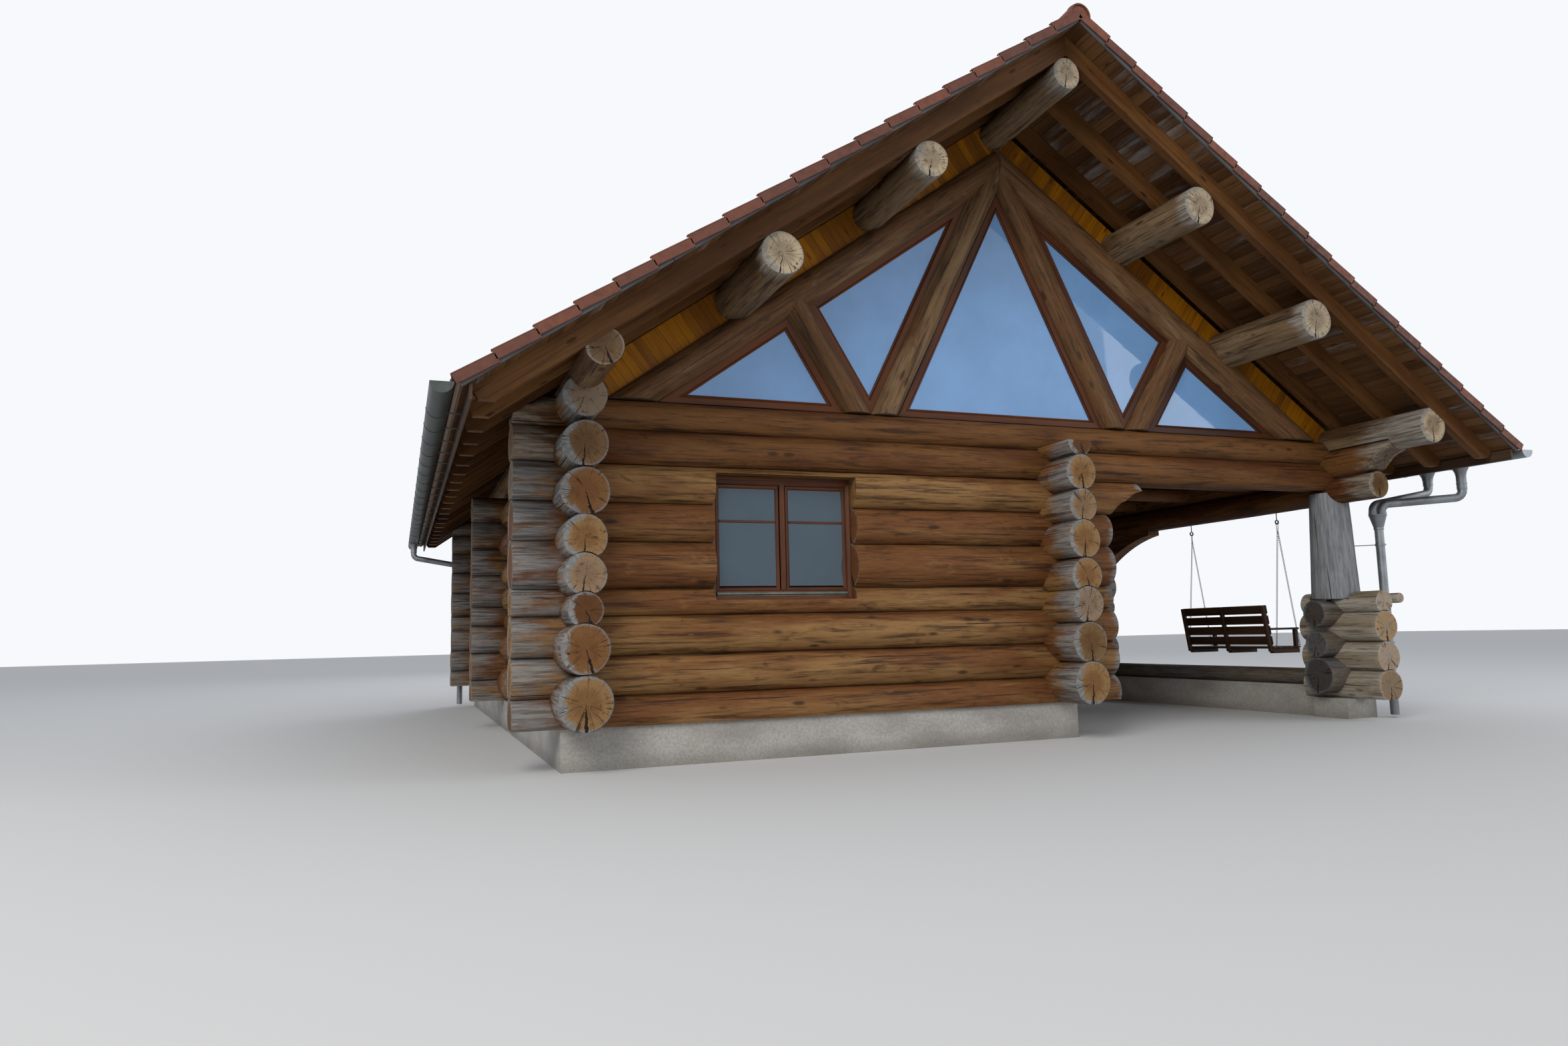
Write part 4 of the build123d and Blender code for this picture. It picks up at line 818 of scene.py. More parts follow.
def make_board_group():
    """Planed wood: grain lines along X, knots, a tint for each board and grey weathering."""
    tree, net, takes, gives = new_group(
        "planed_board",
        [("Along", "Vector"), ("Light", "Color"), ("Dark", "Color"), ("Grey", "Color"),
         ("Board", "Float"), ("Weather", "Float"), ("Knots", "Float")], WOOD_GIVES)
    dark, silver, board = takes["Dark"], takes["Grey"], takes["Board"]
    at = net.vector("ADD", takes["Along"], net.join(net.times(board, 37.0), 0.0, 0.0))
    grain = net.noise(at, (1.3, 42, 42), 5, 0.6, 0.35)
    fine = net.noise(at, (12, 260, 260), 3, 0.5)
    broad = net.noise(at, (0.8, 5, 5), 3, 0.5)
    shade = net.plus(net.scaled(board, 0.5, -0.25), broad)
    colour = net.mix(net.step(shade, 0.28, 0.74), takes["Light"], dark)
    colour = net.laid(colour, net.mix(0.4, dark, BLACK), grain, 0.52, 0.34, 0.55)
    colour = net.laid(colour, BLACK, fine, 0.35, 0.7, 0.16)
    spots = net.cells(net.vector("MULTIPLY", at, (2.4, 8.5, 8.5)))
    knot = net.times(net.step(spots, 0.17, 0.08), takes["Knots"])
    colour = net.mix(knot, colour, net.mix(0.62, dark, (0.02, 0.008, 0.004, 1)))
    old = net.plus(net.scaled(net.noise(at, (1.5, 9, 9), 4, 0.65), 1.4, -0.9), takes["Weather"])
    worn = net.step(old, 0.1, 0.7)
    colour = net.mix(net.times(worn, 0.88), colour,
                     net.mix(net.step(grain, 0.35, 0.6), net.mix(0.5, silver, dark), silver))
    rise = net.plus(net.times(grain, 0.5), net.times(fine, 0.15))
    net.fill(gives, {
        "Color": colour, "Height": net.plus(rise, net.times(knot, 0.15)),
        "Roughness": net.plus(net.step(grain, 0.3, 0.7, 0.42, 0.60), net.times(worn, 0.2),
                              clamp=True)})
    return tree


def new_material(name):
    """A material with an empty net and its Principled shader."""
    material = bpy.data.materials.new(name)
    material.use_nodes = True
    material.node_tree.nodes.clear()
    net = Net(material.node_tree)
    shader = net.node("ShaderNodeBsdfPrincipled")
    net.node("ShaderNodeOutputMaterial", {"Surface": shader.outputs[0]})
    return material, net, shader


def surface(net, shader, height, strength, distance, values):
    """Values of the shader's sockets, and a bump from a height on its normal."""
    net.fill(shader.inputs, values)
    bump = net.node("ShaderNodeBump",
                    {"Height": height, "Strength": strength, "Distance": distance})
    net.put(shader.inputs["Normal"], bump.outputs[0])


def wood_surface(net, shader, wood, strength, distance, specular):
    """The outputs of a group of wood on the shader."""
    surface(net, shader, wood["Height"], strength, distance, {
        "Base Color": wood["Color"], "Roughness": wood["Roughness"],
        "Specular IOR Level": specular})


def colour_of(value, scale=1.0):
    """A colour with its alpha, made lighter or darker."""
    return (*(part * scale for part in value[:3]), 1.0)


def log_finish(context, name, weather=0.0, checks=1.0, turned=None, **changed):
    """The finish of round logs in the cabin's colours, with a few of them changed.

    It is read from the mesh, or from turned object coordinates for logs that keep their shape.
    """
    material, net, shader = new_material(name)
    tree = bpy.data.node_groups.get("weathered_log") or make_log_group()
    use = net.node("ShaderNodeGroup", node_tree=tree)
    if turned is None:
        marks = net.read("state")
        net.fill(use.inputs, {"Grain": net.read("grain")["Vector"], "State": marks["Color"],
                              "Reach": marks["Alpha"], "End": net.read("end")["Fac"]})
    else:
        net.fill(use.inputs, {"Grain": net.turned(net.place(), turned),
                              "State": (0.5, 0.0, 0.0, 1.0), "Reach": 0.2})
    tones = context.scene.cabin_colours
    for tone in ("light", "warm", "dark", "grey", "sawn"):
        net.put(use.inputs[tone.title()], colour_of(changed.get(tone, getattr(tones, tone))))
    net.fill(use.inputs, {"Weather": weather, "Checks": checks})
    wood_surface(net, shader, use.outputs, 0.55, 0.02, 0.22)
    return material


def board_material(name, light, dark, grey, weather=0.0, knots=1.0, turn=None, pitch=None,
                   gloss=None):
    """The finish of planed boards, along the mesh's grain or along turned object coordinates."""
    material, net, shader = new_material(name)
    tree = bpy.data.node_groups.get("planed_board") or make_board_group()
    use = net.node("ShaderNodeGroup", node_tree=tree)
    if turn is None:
        tint, old, _ = net.parts(net.read("state")["Color"])
        net.fill(use.inputs, {"Along": net.read("grain")["Vector"], "Board": tint,
                              "Weather": net.plus(old, weather)})
    else:
        place = net.place()
        net.fill(use.inputs, {"Along": net.turned(place, turn), "Weather": weather})
        axis, size = pitch
        cell = net.floor(net.over(net.split(place)[axis], size))
        net.put(use.inputs["Board"], net.node("ShaderNodeTexWhiteNoise", {"W": cell},
                                              noise_dimensions="1D").outputs["Value"])
    net.fill(use.inputs, {"Light": colour_of(light), "Dark": colour_of(dark),
                          "Grey": colour_of(grey), "Knots": knots})
    wood_surface(net, shader, use.outputs, 0.35, 0.004, 0.15)
    if gloss:
        net.fill(shader.inputs, {"Coat Weight": gloss, "Coat Roughness": 0.35})
    return material


def concrete_material():
    """Rough cast concrete with stains and small pits."""
    material, net, shader = new_material("rough_concrete")
    place = net.place()
    broad = net.noise(place, (1.2, 1.2, 2.6), 4, 0.6)
    small = net.noise(place, (38, 38, 38), 5, 0.7)
    holes = net.step(net.cells(place, 55.0), 0.10, 0.22)
    colour = net.mix(net.step(broad, 0.3, 0.7), (0.33, 0.31, 0.28, 1), (0.50, 0.48, 0.44, 1))
    colour = net.laid(colour, (0.20, 0.185, 0.165, 1), small, 0.35, 0.7, 0.45)
    # Darker towards the bottom.
    low = net.step(net.split(place)[2], 0.16, 0.0)
    colour = net.mix(net.times(low, 0.45), colour, (0.13, 0.115, 0.09, 1))
    height = net.plus(net.times(small, 0.7), net.times(holes, 0.4))
    surface(net, shader, height, 0.5, 0.006, {
        "Base Color": colour, "Roughness": net.step(small, 0.2, 0.8, 0.80, 0.95)})
    return material


def clay_material(name, light, dark, soot):
    """Fired clay: a tint for each tile, darker weather stains and fine grit."""
    material, net, shader = new_material(name)
    place = net.place()
    tint, old, _ = net.parts(net.read("state")["Color"])
    broad = net.noise(place, (0.7, 0.7, 0.7), 4, 0.6)
    grit = net.noise(place, (160, 160, 160), 3, 0.6)
    spots = net.noise(place, (14, 14, 14), 5, 0.7)
    colour = net.mix(net.step(net.scaled(tint, 0.7, net.times(broad, 0.4)), 0.1, 0.95),
                     colour_of(light), colour_of(dark))
    colour = net.laid(colour, colour_of(soot), spots, 0.52, 0.72, 0.55)
    colour = net.mix(net.times(old, net.step(spots, 0.3, 0.7)), colour, colour_of(soot))
    surface(net, shader, net.plus(net.times(grit, 0.4), spots), 0.25, 0.002, {
        "Base Color": colour, "Roughness": net.step(spots, 0.3, 0.7, 0.62, 0.82)})
    return material


def zinc_material(name, tone, rough):
    """Dull zinc sheet with a cloudy patina and long water marks."""
    material, net, shader = new_material(name)
    place = net.place()
    cloud = net.noise(place, (4, 1.2, 4), 5, 0.62)
    run = net.noise(place, (26, 26, 1.2), 4, 0.6)
    scuff = net.noise(place, (90, 90, 90), 3, 0.6)
    base = net.mix(net.step(cloud, 0.3, 0.7), colour_of(tone, 0.72), colour_of(tone, 1.25))
    base = net.laid(base, (0.16, 0.165, 0.16, 1), run, 0.52, 0.75, 0.4)
    surface(net, shader, net.plus(cloud, net.times(scuff, 0.3)), 0.12, 0.002, {
        "Base Color": base, "Metallic": 0.75,
        "Roughness": net.plus(net.step(cloud, 0.3, 0.7, rough - 0.08, rough + 0.1),
                              net.times(scuff, 0.08))})
    return material


def steel_material():
    """Dark galvanised steel with a little rust in the hollows."""
    material, net, shader = new_material("dull_chain_steel")
    spots = net.noise(net.place(), (70, 70, 70), 4, 0.65)
    surface(net, shader, spots, 0.3, 0.001, {
        "Base Color": net.mix(net.step(spots, 0.50, 0.68), (0.085, 0.082, 0.080, 1),
                              (0.075, 0.036, 0.020, 1)),
        "Metallic": net.step(spots, 0.66, 0.50, 0.10, 0.60),
        "Roughness": net.step(spots, 0.4, 0.7, 0.45, 0.8)})
    return material


def glass_material(name, tone):
    """Smooth clear glass with faint dust, whose tone is painted: painted shade of a dim room behind
    the casements, and a painted sky reflection on the gable panes.
    """
    material, net, shader = new_material(name)
    dust = net.noise(net.place(), (2.2, 2.2, 2.2), 4, 0.6)
    net.fill(shader.inputs, {
        "Base Color": net.mix(net.step(dust, 0.3, 0.8), colour_of(tone), colour_of(tone, 1.12)),
        "Roughness": net.step(dust, 0.4, 0.8, 0.015, 0.07),
        "Transmission Weight": 0.12, "IOR": 1.52})
    return material


def dress(node, material):
    """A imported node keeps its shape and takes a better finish."""
    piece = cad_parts[node]
    piece.data.materials.clear()
    piece.data.materials.append(material)


# Settings

class CabinSizes(bpy.types.PropertyGroup):
    """Sizes and counts that a user would change."""

    log_around: IntProperty(
        name="Points Round A Log", description="Points round each log", default=44, min=16,
        max=96)
    log_pitch: FloatProperty(
        name="Ring Spacing", description="Distance between the rings of points along a log",
        default=0.13, min=0.03, max=1.0, subtype="DISTANCE", unit="LENGTH")
    log_rough: FloatProperty(
        name="Unevenness", description="How uneven the logs are", default=1.0, min=0.0, max=2.0,
        subtype="FACTOR")
    sheathing_width: FloatProperty(
        name="Roof Board Width", description="Width of one roof board", default=0.132, min=0.06,
        max=0.4, subtype="DISTANCE", unit="LENGTH")
    gable_board_width: FloatProperty(
        name="Gable Board Width", description="Width of one board in the gable", default=0.096,
        min=0.04, max=0.3, subtype="DISTANCE", unit="LENGTH")
    tile_columns: IntProperty(
        name="Tile Columns", description="Tiles in one course of a slope", default=45, min=10,
        max=80)
    tile_courses: IntProperty(
        name="Tile Courses", description="Courses of tiles on a slope", default=19, min=8, max=40)
    ridge_tiles: IntProperty(
        name="Ridge Tiles", description="Tiles along the ridge", default=36, min=10, max=60)
    chain_wire: FloatProperty(
        name="Chain Wire", description="Thickness of the wire of a swing chain", default=0.0055,
        min=0.002, max=0.01, subtype="DISTANCE", unit="LENGTH")


class CabinColours(bpy.types.PropertyGroup):
    """Colours of the wood, clay and glass."""

    light: FloatVectorProperty(
        name="Light Wood", description="Pale streaks of the wall logs", subtype="COLOR",
        default=(0.31, 0.165, 0.058), min=0, max=1)
    warm: FloatVectorProperty(
        name="Stained Wood", description="Patches where the stain is left", subtype="COLOR",
        default=(0.175, 0.066, 0.019), min=0, max=1)
    dark: FloatVectorProperty(
        name="Dark Streaks", description="Dark streaks and seams", subtype="COLOR",
        default=(0.036, 0.016, 0.007), min=0, max=1)
    grey: FloatVectorProperty(
        name="Weathered Wood", description="Silver grey of bare wood", subtype="COLOR",
        default=(0.30, 0.31, 0.305), min=0, max=1)
    sawn: FloatVectorProperty(
        name="Sawn Ends", description="Sawn ends of the logs", subtype="COLOR",
        default=(0.34, 0.195, 0.075), min=0, max=1)
    clay: FloatVectorProperty(
        name="Clay Tiles", description="Lighter clay", subtype="COLOR",
        default=(0.23, 0.066, 0.030), min=0, max=1)
    clay_dark: FloatVectorProperty(
        name="Dark Clay", description="Darker clay", subtype="COLOR",
        default=(0.110, 0.034, 0.018), min=0, max=1)
    joinery: FloatVectorProperty(
        name="Joinery", description="Window and pane frames", subtype="COLOR",
        default=(0.138, 0.040, 0.009), min=0, max=1)
    varnish: FloatVectorProperty(
        name="Varnished Boards", description="Boards in the gables", subtype="COLOR",
        default=(0.46, 0.168, 0.003), min=0, max=1)
    # The window glass tone is painted: painted shade of the dim room behind, with a blue tint of
    # painted sky reflection.
    casement: FloatVectorProperty(
        name="Window Glass", description="Tone of the window panes", subtype="COLOR",
        default=(0.055, 0.092, 0.125), min=0, max=1)
    # The gable glass tone is a painted reflection of a bright sky.
    painted_sky_pane: FloatVectorProperty(
        name="Gable Glass", description="Tone of the gable panes", subtype="COLOR",
        default=(0.22, 0.42, 0.74), min=0, max=1)


def log_look(context, **changed):
    """How finely and how unevenly logs are made, with a few values changed."""
    sizes = context.scene.cabin_sizes
    return {"around": sizes.log_around, "pitch": sizes.log_pitch, "rough": sizes.log_rough,
            **changed}


# Operators

def placed(across, upright, back, at):
    """The matrix of a thing from its three axes and its place."""
    matrix = np.eye(4)
    matrix[:3] = np.stack([across, upright, back, at], axis=1)
    return Matrix(matrix.tolist())


class MakeStage(bpy.types.Operator):
    """Makes the floor, the lamps, the pale world and the camera."""
    bl_idname = "cabin.stage"
    bl_label = "Stage and Camera"

    def execute(self, context):
        scene = context.scene
        scene.view_settings.view_transform = "Standard"
        camera = add_object("camera", bpy.data.cameras.new("camera"))
        ahead = np.array([0.3563136, 0.9279382, 0.1094134])
        across = np.array([0.9342131, -0.3559256, -0.0237253])
        upright = np.array([-0.0169274, -0.1106691, 0.9937132])
        camera.matrix_world = placed(across, upright, -ahead, (-6.246, -14.521, 1.173))
        camera.data.lens, camera.data.sensor_width = 23.24, 36.0
        camera.data.clip_end = 200
        scene.camera = camera

        material, net, shader = new_material("pale_floor")
        net.fill(shader.inputs, {"Base Color": (0.62, 0.62, 0.61, 1), "Roughness": 0.9})
        floor = bpy.data.meshes.new("floor_plane")
        half = 90.0
        floor.from_pydata([(-half, -half, 0), (half, -half, 0), (half, half, 0), (-half, half, 0)],
                          [], [(0, 1, 2, 3)])
        plane = add_object("floor_plane", floor)
        floor.materials.append(material)
        plane.location.z = -0.001

        # The camera, mirrors and glass see a brighter sky than the one that lights the cabin
        world = bpy.data.worlds.new("studio")
        scene.world = world
        world.use_nodes = True
        world.node_tree.nodes.clear()
        net = Net(world.node_tree)
        paths = net.node("ShaderNodeLightPath").outputs
        seen = net.larger(paths["Is Camera Ray"],
                          net.larger(paths["Is Glossy Ray"], paths["Is Transmission Ray"]))
        soft, pale = (net.node("ShaderNodeBackground", {"Color": colour, "Strength": strength})
                      for colour, strength in (((0.84, 0.89, 0.98, 1), 0.62),
                                               ((0.93, 0.95, 0.98, 1), 1.0)))
        both = net.node("ShaderNodeMixShader", {0: seen, 1: soft.outputs[0], 2: pale.outputs[0]})
        net.node("ShaderNodeOutputWorld", {"Surface": both.outputs[0]})

        cool = (0.95, 0.97, 1.0)
        for name, place, power, size, colour in (
                ("key_lamp", (-13, -17, 13), 1900, 9, (1.0, 0.965, 0.91)),
                ("fill_lamp", (15, -14, 9), 700, 10, cool),
                ("back_lamp", (4, 20, 14), 900, 10, cool)):
            lamp = bpy.data.lights.new(name, "AREA")
            lamp.energy, lamp.size, lamp.color = power, size, colour
            toward = unit(3 * Z - np.array(place, float))
            side = unit(np.cross(toward, Z))
            add_object(name, lamp).matrix_world = placed(side, np.cross(side, toward), -toward,
                                                         place)
        return {"FINISHED"}


class MakeWalls(bpy.types.Operator):
    """Makes the scribed log walls with their openings and stub ends."""
    bl_idname = "cabin.walls"
    bl_label = "Log Walls"

    def execute(self, context):
        look = log_look(context)
        wood = log_finish(context, "oiled_logs")
        half = WINDOW_WIDE / 2 + 0.0004

        def holes(way, line):
            return [(middle - half, middle + half, WINDOW_SILL, WINDOW_TOP)
                    for side, place, middle, _ in WINDOWS if (side, place) == (way, line)]

        def wall(name, way, line, courses, low, highs, seed, openings, cuts, grey=(0.6, 0.6, 0)):
            parts = []
            highs = np.broadcast_to(highs, len(courses))
            for number, ((height, radius), high) in enumerate(zip(courses, highs)):
                parts += wall_log(way, line, height, radius, low, high, seed + 7 * number,
                                  below=courses[:number], openings=openings, cuts=cuts, grey=grey,
                                  **look)
            put_mesh(f"{name}_logs", parts, stands_for=[name], slot="wall_logs", material=wood)

        deck = [on_plinth, slide(Z, DECK - 0.001, Z)]
        roof = [on_plinth, under_roof]
        arch = [on_plinth, hollow(0, 1.713, 2.270, 0.430)]
        front = CROSS_COURSES[:-2]
        door = [(DOOR_MIDDLE - DOOR_WIDE / 2, DOOR_MIDDLE + DOOR_WIDE / 2, DOOR_LOW,
                 DOOR_LOW + DOOR_HIGH)]
        wall("front_wall", "x", FRONT, front, LEFT - STUB, [1.213] * (len(front) - 1) + [1.673],
             100, holes("x", FRONT), arch, (0.75, 0.12, 0))
        wall("left_wall", "y", LEFT, LEFT_COURSES, FRONT - STUB - GROOVE, REAR + STUB, 200,
             holes("y", LEFT), roof, (0.65, 0.65, 0.12))
        wall("middle_wall", "y", MIDDLE, MIDDLE_COURSES, FRONT - 0.640, CROSS + 0.205, 300,
             door, deck, (0.55, 0, 0))
        wall("cross_wall", "x", CROSS, CROSS_COURSES[:-1], LEFT - STUB, RIGHT + STUB, 400,
             (), deck)
        wall("rear_wall", "x", REAR, CROSS_COURSES, LEFT - STUB, RIGHT + STUB, 500,
             holes("x", REAR), roof)
        wall("right_wall", "y", RIGHT, RIGHT_COURSES, CROSS - STUB, REAR + STUB, 600,
             holes("y", RIGHT), [on_plinth], (0.5, 0.65, 0.12))
        return {"FINISHED"}


class MakePorch(bpy.types.Operator):
    """Makes the headers, the pier, the post, the bracket and the sill log of the porch."""
    bl_idname = "cabin.porch"
    bl_label = "Porch Timbers"

    def execute(self, context):
        look = log_look(context)
        red = log_finish(context, "stained_header_logs", warm=(0.108, 0.034, 0.008),
                         light=(0.185, 0.078, 0.022), grey=(0.37, 0.325, 0.255))
        silver = log_finish(context, "silver_post", light=(0.30, 0.27, 0.22),
                            warm=(0.18, 0.13, 0.085), dark=(0.125, 0.130, 0.135),
                            grey=(0.33, 0.355, 0.38), weather=0.85)
        # The pier's wood in two finishes: the pale logs are partly their own bleached colour and
        # partly painted sunlight, the dusky logs and the sill partly their own grey and partly
        # painted shade.
        shaded_dusky = log_finish(context, "dusky_logs_painted_shade", light=(0.17, 0.135, 0.10),
                           warm=(0.10, 0.068, 0.042), dark=(0.034, 0.030, 0.029),
                           grey=(0.19, 0.20, 0.21), sawn=(0.075, 0.068, 0.064), weather=0.62)
        pale = log_finish(context, "pale_logs_painted_sun", light=(0.50, 0.45, 0.37),
                          warm=(0.34, 0.27, 0.185), dark=(0.095, 0.072, 0.052),
                          grey=(0.46, 0.46, 0.45), sawn=(0.44, 0.27, 0.13), weather=0.15)

        parts = []
        for number, (height, radius) in enumerate(CROSS_COURSES[-2:]):
            parts += wall_log("x", FRONT, height, radius, LEFT - STUB, RIGHT + radius,
                              700 + number, below=[CROSS_COURSES[number - 3]], cuts=[under_roof],
                              grey=(0.7, 0, 0), **look)
        put_mesh("porch_header_logs", parts, stands_for=["header_logs"], slot="header_logs",
                 material=red)

        window = 2.530
        openings = [(window - WINDOW_WIDE / 2, window + WINDOW_WIDE / 2, WINDOW_SILL, WINDOW_TOP)]
        parts = []
        for number, (height, radius, front) in enumerate(SIDE_HEADERS):
            below = [RIGHT_COURSES[-1], SIDE_HEADERS[0][:2]][number:number + 1]
            cuts = [hollow(1, -6.140, 2.880, 0.300)] if number else []
            parts += wall_log("y", RIGHT, height, radius, front, REAR + STUB, 720 + number,
                              below=below, openings=openings, cuts=cuts, grey=(0.5, 0.6, 0),
                              **look)
        put_mesh("side_header_logs", parts, stands_for=["porch_side_header"], slot="header_logs",
                 material=red)

        # The pier's foot is level, and its top is level under the post alone
        low, high = 0.240, POST_FOOT - 0.0005
        level = [slide(-Z, -low, -Z)]
        foot = [(FRONT - 0.285, FRONT + 0.285, high, DECK)]
        close = log_look(context, pitch=0.06)
        along, across = [], []
        for number, (height, radius) in enumerate(PIER_ALONG):
            along += wall_log("y", RIGHT, height, radius, PIER_FRONT, PIER_BACK, 740 + number,
                              below=PIER_ALONG[:number], openings=foot, cuts=level, seams=0.5,
                              **close)
        for number, (height, radius) in enumerate(PIER_ACROSS):
            across += wall_log("x", FRONT, height, radius, RIGHT - 0.400, RIGHT + 0.470,
                               760 + number, below=PIER_ACROSS[:number], cuts=level, seams=0.5,
                               **close)
        spur_height, spur_radius = 1.435, 0.060
        along += wall_log("y", RIGHT + 0.270, spur_height, spur_radius, PIER_FRONT, FRONT, 780,
                          openings=foot, cuts=level, **{**close, "around": 20})
        put_mesh("pier_logs", along, stands_for=["porch_pier"], slot="grey_logs", material=pale)
        put_mesh("pier_cross_logs", across, slot="grey_logs", material=shaded_dusky)

        rough = 1.6 * context.scene.cabin_sizes.log_rough
        post = round_log((RIGHT, FRONT, POST_FOOT), (RIGHT, FRONT, POST_TOP), (0.268, 0.216), 790,
                         seams=0, upright=-Y, grey=(0, 0, 0.5), **{**look, "rough": rough})
        put_mesh("porch_post_trunk", [post], stands_for=["porch_post"], slot="grey_logs",
                 material=silver)
        sill_height, sill_radius = 0.478, 0.108
        sill = round_log((RIGHT, PIER_BACK + 0.001, sill_height),
                         (RIGHT, CROSS - STUB - 0.001, sill_height), sill_radius, 791,
                         cuts=[on_plinth], seams=0.3, **look)
        put_mesh("porch_sill", [sill], stands_for=["porch_sill_log"], slot="grey_logs",
                 material=shaded_dusky)
        dress("porch_arch",
              log_finish(context, "stained_bracket", turned=(0, 0, pi / 2), checks=0.0))
        return {"FINISHED"}


class MakeTrusses(bpy.types.Operator):
    """Makes the purlins, the wall plates and the log trusses of both gables."""
    bl_idname = "cabin.trusses"
    bl_label = "Purlins and Trusses"

    def execute(self, context):
        look = log_look(context)
        # The pale tan of the sawn ends of the purlins and plates is partly their own colour and
        # partly painted sunlight.
        brown = log_finish(context, "roof_logs_brown", light=(0.25, 0.165, 0.088),
                           warm=(0.125, 0.066, 0.029), dark=(0.034, 0.020, 0.011),
                           sawn=(0.60, 0.47, 0.30), grey=(0.37, 0.34, 0.29), weather=0.12)
        peeled = log_finish(context, "peeled_truss_logs", light=(0.26, 0.160, 0.078),
                            warm=(0.155, 0.072, 0.027), dark=(0.050, 0.026, 0.013), weather=0.10,
                            checks=0.6)
        seed = 800

        def roof_log(place, height, radius, **more):
            return round_log((place, -PURLIN_END, height), (place, PURLIN_END, height), radius,
                             seed, cuts=[under_roof], seams=0, **more, **look)

        for node, purlins in PURLINS.items():
            parts = []
            for place, radius in purlins:
                seed += 9
                height = RAFTER_LOW - abs(place) * tan(PITCH) - (radius - 0.008) / RUN
                parts.append(roof_log(place, height, radius, tint=0.31, grey=(0.2, 0.2, 0)))
            put_mesh(f"{node}_logs", parts, stands_for=[node], slot="roof_logs", material=brown)

        # Each plate rests on the top log of its wall between that log's two ends
        parts = []
        for place, height, radius in PLATES:
            seed += 9
            if place < 0:
                (lower, reach), front, shift = LEFT_COURSES[-1], FRONT - STUB, 0.0
                marks = {"tint": 0.92, "grey": (0, 0, 0)}
            else:
                (lower, reach, front), shift = SIDE_HEADERS[1], RIGHT - place
                marks = {"tint": 0.45, "grey": (1.0, 1.0, 0.3)}
            ends = (PURLIN_END + front, PURLIN_END + REAR + STUB)
            rests = [(shift, lower - height, reach, *ends)]
            parts.append(roof_log(place, height, radius, rests=rests, steps=ends, **marks))
        put_mesh("plate_logs", parts, stands_for=["wall_plates"], slot="roof_logs",
                 material=brown)

        look = log_look(context, pitch=0.10)
        for name, across in (("front_truss", FRONT), ("rear_truss", REAR)):
            parts = []
            for side in (-1, 1):
                for number, (x0, z0, x1, z1, radius) in enumerate(truss_bars(side)):
                    seed += 9
                    along = np.array([x1 - x0, 0, z1 - z0]) / hypot(x1 - x0, z1 - z0)
                    first = np.array([x0, across, z0]) - along * (0.35 if number == 0 else 0.0)
                    last = np.array([x1, across, z1]) + along * 0.4
                    cuts = [slide(-Z, -SEAT, along)]
                    if number < 2:
                        cuts.append(slide(-side * X, -0.0003, -along))
                    parts.append(round_log(first, last, radius, seed, cuts=cuts, seams=0,
                                           saw=0.0, upright=-Y, **look))
            put_mesh(f"{name}_logs", parts, stands_for=[name], slot="truss_logs", material=peeled)
        return {"FINISHED"}


def gable_boards(across, side, plate, step):
    """Boards down one slope of a gable, as one strip that is thinner at each joint.

    Each board runs square to the slope, from the truss chord up to the rafters. It ends at the
    middle of the gable, at the sill log and at the wall plate.
    """
    apex, reach = CHORDS[side]
    low_apex = apex + (reach - 0.02) / RUN
    deep = (RAFTER_LOW - 0.0005 - low_apex) * RUN
    boards = int((low_apex - SEAT) / RISE / step) + 9
    edges = -deep * tan(PITCH) + step * np.arange(boards + 1)
    edge = np.stack([edges[:-1], edges[:-1] + 0.003, edges[1:] - 0.003, edges[1:]], axis=1).ravel()
    lift = np.tile([0.004, 0.0, 0.0, 0.004], boards)
    low = np.maximum.reduce([0 * edge, -edge / tan(PITCH),
                             (SEAT + 0.001 - low_apex + edge * RISE) / RUN])
    high = np.maximum(np.minimum(deep, (abs(plate) - edge * RUN) / RISE), low)
    corners = []
    for face, up in ((-1, low), (-1, high), (1, high), (1, low)):
        x, z = on_slope(side, edge, up, low_apex)
        corners.append(np.stack([x, across + face * (0.010 - lift), z], axis=1))
    count = len(edge)
    last = 4 * count - 4
    ends = np.array([[3, 2, 1, 0], [last, last + 1, last + 2, last + 3]])
    quads = np.concatenate([grid_quads(count, 4), ends])
    board = np.repeat(np.arange(boards), 4)
    tint = np.random.default_rng(60).uniform(0, 1, boards + 1)[board]
    span = np.stack([low, high, high, low], axis=1)
    grain = np.stack([span + board[:, None] * 2.7, edge[:, None] + 0 * span,
                      np.tile([0, 0, 0.02, 0.02], (count, 1))], axis=-1)
    state = np.stack([tint[:, None] + 0 * span, 0 * span, 0 * span, 1 + 0 * span], axis=-1)
    return patch(np.stack(corners, axis=1), quads[:, ::-1] if side > 0 else quads, grain=grain,
                 state=state)


